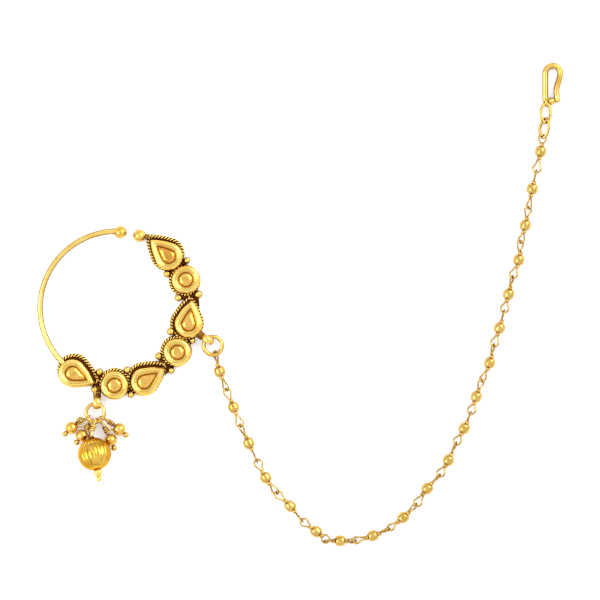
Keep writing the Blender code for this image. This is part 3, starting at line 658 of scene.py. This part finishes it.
def plain_floor():
    """Matt white with faint clouds and a slight glow, so that shadows stay weak."""
    made, tree, shader = new_material("white_floor")
    shader.inputs["Roughness"].default_value = 0.9
    shader.inputs["Specular IOR Level"].default_value = 0.0
    shade = ranged(tree, noise(tree, scale=8.0), NOISE_SPAN)
    tree.links.new(mixed(tree, shade, *FLOOR_TONES), shader.inputs["Base Color"])
    shader.inputs["Emission Color"].default_value = (1.0, 1.0, 1.0, 1.0)
    shader.inputs["Emission Strength"].default_value = FLOOR_GLOW
    return made


# Settings


def setting_frame(setting, shift=0.0):
    """A setting's own frame, with X towards its tip. Its plate's frame is shifted to one side."""
    lift = ROUND_LIFT if setting.kind == "round" else 0.0
    centre = polar(HOOP_RADIUS * setting.radius_share, setting.around_deg)
    centre += polar(shift, setting.plate_shift_deg, lift)
    return lying(centre, setting.around_deg + 90.0 + setting.tip_off_deg)


def outline(kind, inset, shares):
    """Points of a setting's outline at shares of the way round from its tip, drawn in by an inset."""
    shares = np.asarray(shares, float) % 1.0
    if kind == "round":
        angles = 2.0 * math.pi * shares
        return (ROUND_SIDE - inset) * np.stack([np.cos(angles), np.sin(angles)], axis=-1)
    side, tip = PEAR_SIDE - inset, PEAR_TIP - inset * TIP_SPREAD
    meet = math.acos(side / tip)
    upper = np.minimum(shares, 1.0 - shares)
    flip = np.where(shares > 0.5, -1.0, 1.0)
    along = np.clip(upper / FLANK_SHARE, 0.0, 1.0)[:, None]
    start, end = np.array([tip, 0.0]), side * np.array([math.cos(meet), math.sin(meet)])
    bow = FLANK_BULGE * np.linalg.norm(start - end) * np.array([math.cos(meet), math.sin(meet)])
    flank = start + (end - start) * along + bow * 4.0 * along * (1.0 - along)
    turn = meet + (math.pi - meet) * np.clip((upper - FLANK_SHARE) / (0.5 - FLANK_SHARE), 0.0, 1.0)
    arc = side * np.stack([np.cos(turn), np.sin(turn)], axis=-1)
    spots = np.where((upper < FLANK_SHARE)[:, None], flank, arc)
    return spots * np.stack([np.ones_like(flip), flip], axis=-1)


def ring_of(kind, inset, height, shares):
    flat = outline(kind, inset, shares)
    return np.concatenate([flat, np.full((len(flat), 1), height)], axis=1)


def setting_skin(setting, rows, shift=0.0):
    """A skin from rows of (inset, height, recess), each all the way round a setting's outline."""
    shares = spaced(0.0, 1.0, OUTLINE_STEPS + 1)[:-1]
    rings = [ring_of(setting.kind, inset, height, shares) for inset, height, _ in rows]
    marks = np.array([mark for _, _, mark in rows])[:, None]
    return shell(moved(np.array(rings), setting_frame(setting, shift)), recess=marks)


def band_rows():
    """The band's section from its foot, up over the dome and the crest, down to the lip and into the well.
    The last value of each row is painted shade: low on the outer wall, in the groove by the crest and down
    the well's wall.
    """
    rows = [(0.0, CUP_FOOT, 1.0), (0.0, 0.75 * BAND_HEIGHT, 0.75), (0.0, BAND_HEIGHT - 0.1 * MM, 0.25)]
    rise = CREST_HEIGHT - BAND_HEIGHT
    for share in (0.01, 0.05, 0.12, 0.22, 0.35, 0.5, 0.66, 0.82, 0.95):
        rows.append((share * CREST_INSET, BAND_HEIGHT + rise * math.sqrt(1.0 - (1.0 - share) ** 2), 0.0))
    for share, deep, mark in ((1.0, 0.02, 0.3), (1.07, 0.09, 0.55), (1.15, 0.03, 0.2)):
        rows.append((share * CREST_INSET, CREST_HEIGHT - deep * MM, mark))
    drop = CREST_HEIGHT - LIP_HEIGHT
    for share in (0.25, 0.4, 0.55, 0.7, 0.82, 0.93):
        inset = CREST_INSET + share * (WELL_INSET - CREST_INSET)
        rows.append((inset, CREST_HEIGHT - drop * share ** 1.6, 0.0))
    wall = WELL_INSET + 0.03 * MM
    rows.append((WELL_INSET, LIP_HEIGHT, 0.05))
    return rows + [(wall, LIP_HEIGHT - 0.1 * MM, 0.35), (wall, SEAT_HEIGHT, 0.62)]


def band(setting, surface):
    skin = setting_skin(setting, band_rows())
    piece(setting.name + "_band", [skin], surface, sharp_deg=32.0)


def rope_reach(setting):
    return ROUND_ROPE_REACH if setting.kind == "round" else PEAR_ROPE_REACH


def rope(setting):
    """Two strands twisted round each other along the plate's rim. Their sides that face each other get
    painted shade.
    """
    strand = ROPE_STRAND_SHARE * ROPE_WIDTH
    twist = ROPE_WIDTH / 2 - strand
    shares = spaced(0.0, 1.0, ROPE_COARSE_STEPS + 1)
    coarse = outline(setting.kind, ROPE_WIDTH / 2 - rope_reach(setting), shares)
    reach = np.concatenate([[0.0], np.cumsum(np.linalg.norm(np.diff(coarse, axis=0), axis=1))])
    count = round(reach[-1] / ROPE_PITCH) * ROPE_PITCH_STEPS
    wanted = np.linspace(0.0, reach[-1], count, endpoint=False)
    line = np.stack([np.interp(wanted, reach, coarse[:, axis]) for axis in (0, 1)], axis=-1)
    centre = np.concatenate([line, np.full((count, 1), ROPE_HEIGHT - ROPE_WIDTH / 2)], axis=1)
    outward = np.cross(loop_tangents(centre), UP)
    marks = 1.0 - smooth_step(-0.2, 0.6, np.cos(ring_angles(THIN_SIDES)))
    shells = []
    for first in (0.0, math.pi):
        phase = (2.0 * math.pi * np.arange(count) / ROPE_PITCH_STEPS + first)[:, None]
        offset = outward * np.cos(phase) + np.array(UP) * np.sin(phase)
        path = centre + twist * offset
        spread = circled(offset, unit(np.cross(loop_tangents(path), offset)), THIN_SIDES)
        rows = moved(path[:, None, :] + strand * spread, setting_frame(setting, setting.plate_shift))
        shells.append(shell(rows, looped=True, recess=marks))
    return shells


def rope_base(setting):
    """The low plate under a rope border, with a rounded rim. Its top, between the rope and the band, is
    painted in shade.
    """
    reach = rope_reach(setting)
    rows = (
        (0.1 * MM - reach, 0.0, 0.1),
        (0.02 * MM - reach, 0.12 * MM, 0.1),
        (0.02 * MM - reach, 0.5 * ROPE_HEIGHT, 0.25),
        (0.15 * MM - reach, 0.62 * ROPE_HEIGHT, 1.0),
        (1.5 * ROPE_WIDTH - reach, 0.7 * ROPE_HEIGHT, 1.0),
    )
    return setting_skin(setting, rows, setting.plate_shift)


def stone(setting, surface):
    """A cut stone: flat back, girdle, kites, stars and triangles of the crown, and a table."""
    count = STONE_FACETS
    girdle_inset = WELL_INSET + STONE_GAP
    back = SEAT_HEIGHT + STONE_GAP
    girdle = back + STONE_GIRDLE
    table = girdle + STONE_CROWN
    kites = girdle + STONE_KITE_RISE * STONE_CROWN
    whole, half = np.arange(count) / count, (np.arange(count) + 0.5) / count
    doubled = np.arange(2 * count) / (2 * count)
    edge = ring_of(setting.kind, girdle_inset, girdle, doubled)
    foot = ring_of(setting.kind, girdle_inset + STONE_BEVEL, back, doubled)
    top = ring_of(setting.kind, girdle_inset, table, whole) * (STONE_TABLE_SHARE, STONE_TABLE_SHARE, 1.0)
    share = (1.0 + STONE_TABLE_SHARE) / 2
    middle = ring_of(setting.kind, girdle_inset, kites, half) * (share, share, 1.0)
    points = np.concatenate([foot, edge, middle, top])
    first_edge, first_middle, first_top = 2 * count, 4 * count, 5 * count
    faces = [list(range(2 * count))[::-1], list(range(first_top, first_top + count))]
    for i in range(2 * count):
        j = (i + 1) % (2 * count)
        faces.append([i, j, first_edge + j, first_edge + i])
    for i in range(count):
        j, before = (i + 1) % count, (i - 1) % count
        corner, ahead = first_edge + 2 * i, first_edge + (2 * i + 2) % (2 * count)
        between = first_edge + 2 * i + 1
        faces.append([first_top + i, first_middle + before, corner, first_middle + i])
        faces.append([first_top + i, first_middle + i, first_top + j])
        faces.append([first_middle + i, corner, between])
        faces.append([first_middle + i, between, ahead])
    # Painted shade on the back and girdle, a little on the kites, and on the shaded stone's facets at both
    # sides
    marks = np.zeros(len(points))
    marks[:first_middle] = 0.45
    marks[first_middle:first_top] = 0.1
    if setting.name == SHADED_STONE:
        marks[first_middle:] = 0.9 * np.abs(np.sin(2.0 * math.pi * np.concatenate([half, whole])))
    skin = facing_out(moved(points, setting_frame(setting)), faces, marks)
    name = "stone_" + setting.name
    piece(name + "_cut", [skin], surface, [name], sharp_deg=2.0)


# Frame pieces


def slab_section(near, far, bottom, top, round_off):
    """The section of a flat bar whose two upper edges are taken off."""
    lower = [(near, bottom), (far, bottom)]
    upper = [(far, top - round_off), (far - round_off, top), (near + round_off, top), (near, top - round_off)]
    return lower + upper


def hoop_wire(surface):
    """The bare wire with painted shade towards its sides, and its neck by the first pear, painted in shade.
    It stands for the whole frame.
    """
    shells = []
    for span, steps, marks in ((HOOP_BARE_DEG, 150, side_shaded(HOOP_SIDES, 0.18, 0.65)), (HOOP_NECK_DEG, 16, 0.7)):
        path = [polar(HOOP_RADIUS, degrees, HOOP_HEIGHT) for degrees in spaced(*span, steps)]
        shells.append(wire(path, HOOP_WIRE / 2, HOOP_SIDES, normal=UP, recess=marks))
    piece("hoop_wire", shells, surface, ["nath_frame"])


def base_plate(surface):
    """The curved plate under the row, painted in shade all over, and the low plates under the rope borders.
    """
    inner, outer = HOOP_RADIUS - PLATE_INNER, HOOP_RADIUS + PLATE_OUTER
    section = slab_section(inner, outer, PLATE_BOTTOM, PLATE_TOP, PLATE_ROUND_OFF)
    spots = spaced(*PLATE_DEG, 90)
    rings = [[polar(radius, degrees, height) for radius, height in section] for degrees in spots]
    shells = [shell(rings, recess=1.0)]
    shells += [rope_base(setting) for setting in SETTINGS]
    piece("base_plate", shells, surface, sharp_deg=30.0)


def granule_row(surface):
    """The hoop's beaten end balls, and pairs of granules, with painted shade round their feet, on bars across
    the hoop that are painted in shade all over.
    """
    shells = []
    for degrees in (HOOP_BARE_DEG[0], HOOP_NECK_DEG[1]):
        centre = polar(HOOP_RADIUS - HOOP_END_INSET, degrees, HOOP_END_BALL / 2)
        shells.append(ball(HOOP_END_BALL / 2, centre, 40, shaded_below=0.2))
    wide, tall = BAR_WIDTH / 2, (BAR_TOP - BAR_BOTTOM) / 2
    section = slab_section(-wide, wide, -tall, tall, BAR_ROUND_OFF)
    for pair in GRANULES:
        inner = polar(HOOP_RADIUS * pair.inner_share, pair.around_deg, GRANULE_HEIGHT)
        outer = polar(HOOP_RADIUS * pair.outer_share, pair.around_deg, GRANULE_HEIGHT)
        middle = (inner + outer) / 2
        middle.z = (BAR_BOTTOM + BAR_TOP) / 2
        half = (outer - inner).length / 2
        rows = [[(along, y, z) for y, z in section] for along in spaced(-half, half, 8)]
        shells.append(shell(moved(rows, lying(middle, pair.around_deg)), recess=1.0))
        for spot, size in ((inner, pair.inner_mm), (outer, pair.outer_mm)):
            shells.append(ball(GRANULE_SWELL * size * MM, spot, 28, shaded_below=0.55))
    piece("granules", shells, surface, sharp_deg=50.0)


def loop_centre(hanger):
    return polar(HOOP_RADIUS + hanger.reach, hanger.around_deg, LOOP_HEIGHT)


def loop(hanger, surface):
    """A wide upright loop with painted shade inside, on a stem painted in shade."""
    middle, thick = (LOOP_OUTER + LOOP_HOLE) / 2, (LOOP_OUTER - LOOP_HOLE) / 2
    turn = ring_angles(20)
    radius, aside = middle + thick * np.cos(turn), LOOP_WIDTH / 2 * np.sin(turn)
    rings = [np.stack([radius * math.cos(a), aside, radius * math.sin(a)], axis=-1) for a in ring_angles(48)]
    marks = 0.7 * (1.0 - smooth_step(-1.0, -0.55, np.cos(turn)))
    centre = loop_centre(hanger)
    eyelet = shell(moved(rings, lying(centre, hanger.axis_deg)), looped=True, recess=marks)
    back = centre - polar((LOOP_HOLE + LOOP_OUTER + LOOP_STEM) / 2, hanger.axis_deg)
    back.z = (BAR_TOP + BAND_HEIGHT) / 2
    half, wide, tall = LOOP_STEM / 2, LOOP_STEM_WIDTH / 2, BAR_TOP / 2
    section = [(wide * math.cos(a), tall * math.sin(a)) for a in ring_angles(16)]
    rows = [[(along, y, z) for y, z in section] for along in spaced(-half, half, 10)]
    stem = shell(moved(rows, lying(back, hanger.axis_deg)), recess=0.75)
    piece(hanger.name.replace("jump_ring", "loop"), [eyelet, stem], surface, sharp_deg=50.0)


def rope_borders(surface):
    shells = [strand for setting in SETTINGS for strand in rope(setting)]
    piece("rope_borders", shells, surface, sharp_deg=60.0)


# Rings, drops and melon bead


def ring_radius(hanger):
    return (hanger.ring_outer - hanger.ring_wire) / 2


def ring_frame(hanger):
    """A jump ring's own frame: X away from its loop, tilted so that its far side lies higher or lower."""
    radius = ring_radius(hanger)
    tilt = hanger.ring_rise / (2.0 * radius)
    forward = polar(math.sqrt(1.0 - tilt * tilt), hanger.ring_deg, tilt)
    return aimed(loop_centre(hanger) + forward * (radius + hanger.ring_ahead), forward)


def ring_point(hanger, degrees, inward=0.0):
    return ring_frame(hanger) @ polar(ring_radius(hanger) - inward, degrees - hanger.ring_deg)


def jump_ring(hanger, surface):
    # Painted shade towards the wire's two sides
    marks = side_shaded(RING_SIDES, 0.15, 0.45)
    skin = circle_wire(ring_radius(hanger), hanger.ring_wire, 96, RING_SIDES, ring_frame(hanger), marks)
    piece(hanger.name + "_wire", [skin], surface, [hanger.name])


def open_ball_rows(radius, hole, steps):
    """Rows of (along, radius) over a drilled bead, from one end of its hole to the other."""
    open_deg = math.degrees(math.acos(hole / radius))
    return arc_rows(0.0, radius, steps, -open_deg, open_deg)


def drop_frame(drop):
    """A bead's place on the table, with X along its hole towards the pin's head."""
    place = ring_frame(DROP_HANGER).translation + Vector((drop.bead_x, drop.bead_y, 0.0))
    place.z = DROP_BEAD / 2
    return lying(place, drop.head_deg)


def drop_bead(drop, surface):
    hole = DROP_WIRE / 2 + DROP_HOLE_GAP
    rows = open_ball_rows(DROP_BEAD / 2, hole, 26)
    # Painted shade round both ends of the hole
    marks = 1.0 - smooth_step(hole, 1.6 * hole, rows[:, 1])
    skin = lathe(rows, 40, drop_frame(drop), marks, looped=True)
    piece(drop.name + "_round_bead", [skin], surface, [drop.name + "_bead"])


def drop_pin(drop, surface):
    """Head ball and pin through the bead, and the wire wound from there to the eye on the drop ring. The pin,
    its stem, the core under the wraps and the wraps' inner sides get painted shade.
    """
    frame = drop_frame(drop)
    thick = DROP_WIRE / 2
    bead_side = DROP_BEAD / 2 + DROP_HOLE_GAP
    head = bead_side + 0.4 * DROP_HEAD
    shells = [lathe([(-(bead_side + 2 * DROP_WRAP_GAP), thick), (head, thick)], 12, frame, recess=0.3)]
    shells.append(lathe(arc_rows(head, DROP_HEAD / 2, 18), 28, frame))
    eye_place = ring_point(DROP_HANGER, drop.ring_deg)
    run = frame @ Vector((-bead_side, 0.0, 0.0)) - eye_place
    stem = aimed(eye_place, run)
    near, far = DROP_EYE_RADIUS, run.length - 0.5 * DROP_WRAP_GAP
    length = min(far - near - 2.0 * thick, DROP_WRAP_TURNS * DROP_WRAP_PITCH)
    wide = DROP_WRAP / 2 - thick
    shells.append(lathe([(near, thick), (far, thick)], 12, stem, recess=[0.4, 0.8]))
    wound = far - length - thick
    shells.append(lathe([(wound, 0.6 * wide), (far, 0.8 * wide)], 20, stem, recess=1.0))
    shells.append(coil(wound, length, DROP_WRAP_TURNS, wide, thick, stem, drop.tail_deg, first_share=0.8))
    shells.append(circle_wire(DROP_EYE_RADIUS, DROP_WIRE, 48, 10, upright(stem)))
    for tail in TAILS.get(drop.name, ()):
        spots = [frame.translation + Vector(spot) * MM for spot in tail]
        shells.append(wire(spots, TAIL_THICKNESS / 2, THIN_SIDES))
    piece(drop.name + "_wound_pin", shells, surface, [drop.name + "_pin"])


def melon_frame():
    """X runs along the melon bead's hole towards the drop ring, nose down. The bead rests on the table."""
    centre = ring_frame(DROP_HANGER).translation + polar(MELON_DISTANCE, MELON_DIRECTION_DEG)
    centre.z = MELON_BEAD / 2
    down = math.radians(MELON_NOSE_DOWN_DEG)
    return aimed(centre, polar(math.cos(down), MELON_AXIS_DEG, -math.sin(down)))


def melon_bead(surface):
    """A drilled bead with rounded ribs from pole to pole. The lines between ribs get painted shade."""
    hole = MELON_WIRE / 2 + MELON_HOLE_GAP
    angles = ring_angles(MELON_RIBS * MELON_RIB_STEPS)
    uneven = angles + 0.05 * np.sin(3.0 * angles) + 0.035 * np.sin(7.0 * angles + 1.0)
    valley = 1.0 - np.abs(np.sin(uneven * MELON_RIBS / 2.0)) ** 0.75
    # One side is worn smooth, below the middle and to the right of the top
    aside = (angles - math.radians(MELON_WORN_DEG)) / math.radians(MELON_WORN_SPREAD_DEG)
    rings, marks = [], []
    for along, radius in open_ball_rows(MELON_BEAD / 2, hole, 44):
        below = (along / MELON_BEAD - MELON_WORN_ALONG) / MELON_WORN_LENGTH
        kept = 1.0 - MELON_WORN_DEPTH * np.exp(-(aside ** 2 + below ** 2))
        depth = MELON_GROOVE * min(1.0, (radius - hole) / (2.0 * hole))
        rings.append(turned(along, radius - depth * valley * kept, angles))
        # Painted shade round the hole at the top pole
        pole = (1.0 - smooth_step(1.5 * hole, 5.5 * hole, radius)) if along > 0.0 else 0.0
        marks.append(np.clip(0.7 * kept * smooth_step(0.45, 0.95, valley) + 0.5 * pole, 0.0, 1.0))
    skin = shell(moved(rings, melon_frame()), looped=True, recess=marks)
    piece("ribbed_melon_bead", [skin], surface, ["melon_bead"], sharp_deg=70.0)


def melon_pin(surface):
    """Cone and ball under the bead, and the wound eye bent down to the drop ring. The cone's ends, the cap by
    the bead's hole and the wraps' inner sides get painted shade.
    """
    frame = melon_frame()
    thick = MELON_WIRE / 2
    seat = MELON_BEAD / 2 + MELON_HOLE_GAP
    cone, small = MELON_CONE / 2, MELON_BALL / 2
    cone_rows = [(0.1 * MM - seat, 0.75 * cone), (-(seat + 0.08 * cone), 0.9 * cone)]
    for share in MELON_CONE_STEPS:
        off = abs(share - MELON_CONE_WIDEST) / MELON_CONE_TAPER
        reach = cone * math.sqrt(max(0.0, 1.0 - off ** 2.2))
        cone_rows.append((-(seat + share * cone), max(reach, 0.4 * cone)))
    ball_at = -(seat + MELON_CONE_STEPS[-1] * cone + 0.85 * small)
    shells = [lathe(cone_rows, 32, frame, recess=[0.1] + [0.0] * 7 + [0.1, 0.3])]
    shells.append(lathe(arc_rows(ball_at, small, 18), 28, frame))
    shells.append(lathe([(-seat, thick), (seat, thick)], 14, frame))
    cap = [(seat - 0.02 * MM, 2.6 * thick), (seat + 0.25 * MM, 2.3 * thick), (seat + 0.45 * MM, 1.5 * thick)]
    shells.append(lathe(cap, 24, frame, recess=[0.6, 0.4, 0.2]))
    eye_place = ring_point(DROP_HANGER, MELON_EYE_DEG)
    start = frame @ Vector((seat, 0.0, 0.0))
    bend = frame @ Vector((seat + 4 * thick, 0.0, 0.0))
    stem = aimed(eye_place, bend - eye_place)
    eye_radius = (DROP_HANGER.ring_wire + MELON_WIRE) / 2 + MELON_HOLE_GAP
    last = stem @ Vector((eye_radius, 0.0, 0.0))
    route = [start.lerp(bend, share).lerp(bend.lerp(last, share), share) for share in spaced(0.0, 1.0, 16)]
    shells.append(tube(route, thick, 14))
    length = min((bend - last).length, MELON_WRAP)
    shells.append(coil(eye_radius + 0.5 * thick, length, 2.5, 1.75 * thick, 0.85 * thick, stem))
    shells.append(circle_wire(eye_radius, MELON_WIRE, 48, 12, upright(stem)))
    piece("melon_wound_pin", shells, surface, ["melon_pin"])


# Chain, oval links and hook


def barrel_rows():
    """A plump barrel's section, open at the collars."""
    power = 2.0 / CHAIN_BEAD_FULLNESS
    rows = []
    for angle in spaced(-0.5 * math.pi, 0.5 * math.pi, 23)[1:-1]:
        along = CHAIN_BEAD_LENGTH / 2 * math.copysign(abs(math.sin(angle)) ** power, math.sin(angle))
        rows.append((along, max(CHAIN_BEAD / 2 * math.cos(angle) ** power, 0.8 * COLLAR_WIDTH / 2)))
    return rows


def eye_route(tip):
    """A teardrop loop of wire from the collar round its tip and back."""
    radius = EYE_WIDTH / 2
    root = CHAIN_BEAD_LENGTH / 2 + COLLAR_LENGTH - CHAIN_WIRE
    route = [Vector((root, -0.3 * CHAIN_WIRE, 0.0))]
    for degrees in spaced(-EYE_ARC_DEG, EYE_ARC_DEG, 30):
        route.append(polar(radius, degrees) + Vector((tip - radius, 0.0, 0.0)))
    return route + [Vector((root, 0.3 * CHAIN_WIRE, 0.0))]


def chain_link(name, start, end, link, surface):
    """A barrel bead on its wire: a wound collar and an eye at both ends. The bead's ends, the core wire, the
    collars' inner sides and the eyes' sides get painted shade.
    """
    half = CHAIN_BEAD_LENGTH / 2
    bead_off = Vector((link.bead_x_mm, link.bead_y_mm, 0.0)) * MM
    frame = aimed(start.lerp(end, 0.5) + bead_off, end - start)
    thick = CHAIN_WIRE / 2
    rows = np.array(barrel_rows())
    marks = 0.8 * (1.0 - smooth_step(0.5, 0.72, rows[:, 1] / (CHAIN_BEAD / 2)))
    shells = [lathe(rows, 32, frame, marks)]
    core = half + COLLAR_LENGTH - 0.1 * MM
    shells.append(lathe([(-core, thick), (core, thick)], 12, frame, recess=0.8))
    wound = 0.9 * thick
    edge = side_shaded(EYE_SIDES, 0.2, 0.35)
    length = COLLAR_LENGTH - 2.0 * wound
    for place, roll_deg, side in ((end, link.last_roll_deg, 1.0), (start, -link.first_roll_deg, -1.0)):
        reach = frame.inverted() @ place
        tip = max(reach.length + EYE_OVERLAP, half + COLLAR_LENGTH + EYE_SHORTEST)
        roll = Matrix.Rotation(math.radians(roll_deg), 4, "X")
        collar = frame @ aimed(Vector(), Vector((side, 0.0, 0.0))) @ roll
        shells.append(coil(half + 0.05 * MM, length, COLLAR_TURNS, COLLAR_WIDTH / 2 - wound, wound, collar))
        eye = frame @ aimed(Vector(), reach) @ roll
        shells.append(wire(eye_route(tip), thick, EYE_SIDES, normal=UP, recess=edge, frame=eye))
    piece(name + "_wound", shells, surface, [name])


def chain_start():
    """Where the first link's end lies: inside the chain ring's wire, so that its eye goes round it."""
    inward = (CHAIN_HANGER.ring_wire + CHAIN_WIRE) / 2 + RING_GAP - EYE_OVERLAP
    place = ring_point(CHAIN_HANGER, CHAIN_START_DEG, inward)
    return Vector((place.x, place.y, CHAIN_BEAD / 2))


def chain(surface):
    centre = ring_frame(CHAIN_HANGER).translation
    start = chain_start()
    for number, link in enumerate(CHAIN_ROUTE, start=1):
        end = Vector((centre.x + link.end_x, centre.y + link.end_y, CHAIN_BEAD / 2))
        chain_link(f"chain_link_{number:02d}", start, end, link, surface)
        start = end
    return start


def oval_links(chain_end, surface):
    """The plain links between the chain and the hook, and the place of the last one's far end."""
    reach = OVAL_LENGTH - OVAL_WIRE
    back = (CHAIN_WIRE + OVAL_WIRE) / 2 + OVAL_GAP - EYE_OVERLAP
    start = Vector((chain_end.x, chain_end.y, OVAL_HEIGHT))
    # Painted shade towards the wire's two sides
    marks = side_shaded(OVAL_SIDES, 0.15, 0.45)
    for link in OVAL_LINKS:
        start = start - polar(back, link.heading_deg)
        frame = lying(start + polar(reach / 2, link.heading_deg), link.heading_deg, link.roll_deg)
        skin = oval_wire(reach, OVAL_WIDTH - OVAL_WIRE, OVAL_WIRE, 72, OVAL_SIDES, frame, marks)
        piece(link.name + "_wire", [skin], surface, [link.name])
        start = start + polar(reach, link.heading_deg)
        back = OVAL_OVERLAP
    return start


def hook_route():
    """The hook's wire from its foot up the straight leg, over the bend and down the pinched leg."""
    route = [Vector((0.0, height, 0.0)) for height in spaced(HOOK_FOOT, HOOK_LEG, 12)[:-1]]
    for degrees in spaced(180.0, 0.0, 36):
        route.append(polar(HOOK_BEND, degrees) + Vector((HOOK_BEND, HOOK_LEG, 0.0)))
    for share in spaced(0.0, 1.0, 17)[1:]:
        inset = HOOK_WAIST_INSET * smooth_step(0.0, 1.0, share)
        route.append(Vector((2 * HOOK_BEND - inset, HOOK_LEG - HOOK_WAIST_DROP * share, 0.0)))
    for share in spaced(0.0, 1.0, 9)[1:]:
        inset = HOOK_WAIST_INSET + (HOOK_TIP_INSET - HOOK_WAIST_INSET) * share * share
        drop = HOOK_WAIST_DROP + (HOOK_TIP_DROP - HOOK_WAIST_DROP) * share
        route.append(Vector((2 * HOOK_BEND - inset, HOOK_LEG - drop, 0.0)))
    return route


def hook(link_end, surface):
    """The hook, its upright eye round the last link, and the ball that the pinched leg springs against."""
    foot = Vector((link_end.x - HOOK_EYE_ASIDE, link_end.y + HOOK_EYE_AHEAD, HOOK_WIRE / 2 + HOOK_CLEAR))
    frame = lying(foot, 0.0)
    # Painted shade towards the wire's two sides
    marks = side_shaded(HOOK_SIDES, 0.05, 0.5)
    shells = [wire(hook_route(), HOOK_WIRE / 2, HOOK_SIDES, normal=UP, recess=marks, frame=frame)]
    eye_place = Vector((link_end.x, foot.y, OVAL_HEIGHT))
    eye_radius = HOOK_EYE_HOLE + HOOK_EYE_WIRE / 2
    shells.append(circle_wire(eye_radius, HOOK_EYE_WIRE, 40, 14, upright(lying(eye_place, 90.0))))
    ball_place = foot + Vector((HOOK_BALL_ASIDE, HOOK_BALL_AHEAD, 0.0))
    ball_place.z = HOOK_BALL / 2
    joint = [frame @ Vector((0.0, 1.6 * HOOK_FOOT, 0.0)), ball_place]
    shells.append(wire(joint, HOOK_WIRE / 3, 14, normal=UP))
    shells.append(ball(HOOK_BALL / 2, ball_place, 32))
    piece("hook_wire", shells, surface, ["hook"])


# Stage


def floor():
    mesh = bpy.data.meshes.new("floor")
    half = FLOOR_SIZE / 2
    corners = [(-half, -half, 0.0), (half, -half, 0.0), (half, half, 0.0), (-half, half, 0.0)]
    mesh.from_pydata(corners, [], [(0, 1, 2, 3)])
    mesh.materials.append(plain_floor())
    made = placed("floor", mesh)
    made.location.z = -FLOOR_DROP


def camera():
    data = bpy.data.cameras.new("camera")
    data.lens = CAMERA_LENS
    data.clip_end = CAMERA_REACH
    made = placed("camera", data)
    made.location = CAMERA_PLACE
    bpy.context.scene.camera = made


def soft_light(light):
    """A soft square light that looks at the jewel from a turn round it and a rise above the floor."""
    data = bpy.data.lights.new(light.name, "AREA")
    data.size = light.size
    data.energy = light.watts
    made = placed(light.name, data)
    rise = math.radians(light.rise_deg)
    made.location = polar(light.distance * math.cos(rise), light.around_deg, light.distance * math.sin(rise))
    made.rotation_euler = (-made.location).to_track_quat("-Z", "Y").to_euler()


def soft_dome(tree):
    """The studio's brightness by height: dim near the table, brightest high up, a little less overhead."""
    place = tree.nodes.new("ShaderNodeTexCoord")
    split = tree.nodes.new("ShaderNodeSeparateXYZ")
    tree.links.new(place.outputs["Generated"], split.inputs["Vector"])
    ramp = tree.nodes.new("ShaderNodeValToRGB")
    ramp.color_ramp.interpolation = "EASE"
    # The ramp comes with its first and last stop
    stops = ramp.color_ramp.elements
    for spot, _ in DOME_STOPS[1:-1]:
        stops.new(spot)
    for stop, (_, bright) in zip(stops, DOME_STOPS):
        stop.color = (bright, bright, bright, 1.0)
    tree.links.new(split.outputs["Z"], ramp.inputs["Fac"])
    return ramp.outputs["Color"]


def studio():
    world = bpy.data.worlds.new("studio")
    bpy.context.scene.world = world
    world.use_nodes = True
    tree = world.node_tree
    background = tree.nodes["Background"]
    tree.links.new(soft_dome(tree), background.inputs["Color"])
    background.inputs["Strength"].default_value = DOME_STRENGTH
    for light in LIGHTS:
        soft_light(light)
    bpy.context.scene.view_settings.view_transform = "Standard"
    bpy.context.scene.view_settings.look = "None"


def main():
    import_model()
    camera()
    studio()
    floor()
    polished, antique, shaded_wire, ribbed, beaten = [gold(name, look) for name, look in GOLDS.items()]
    amber = foiled_stone()
    hoop_wire(antique)
    base_plate(antique)
    rope_borders(antique)
    granule_row(beaten)
    for hanger in (DROP_HANGER, CHAIN_HANGER):
        loop(hanger, antique)
        jump_ring(hanger, polished)
    for setting in SETTINGS:
        band(setting, antique)
        stone(setting, amber)
    for drop in DROPS:
        drop_bead(drop, polished)
        drop_pin(drop, shaded_wire)
    melon_bead(ribbed)
    melon_pin(antique)
    link_end = oval_links(chain(shaded_wire), polished)
    hook(link_end, polished)


main()
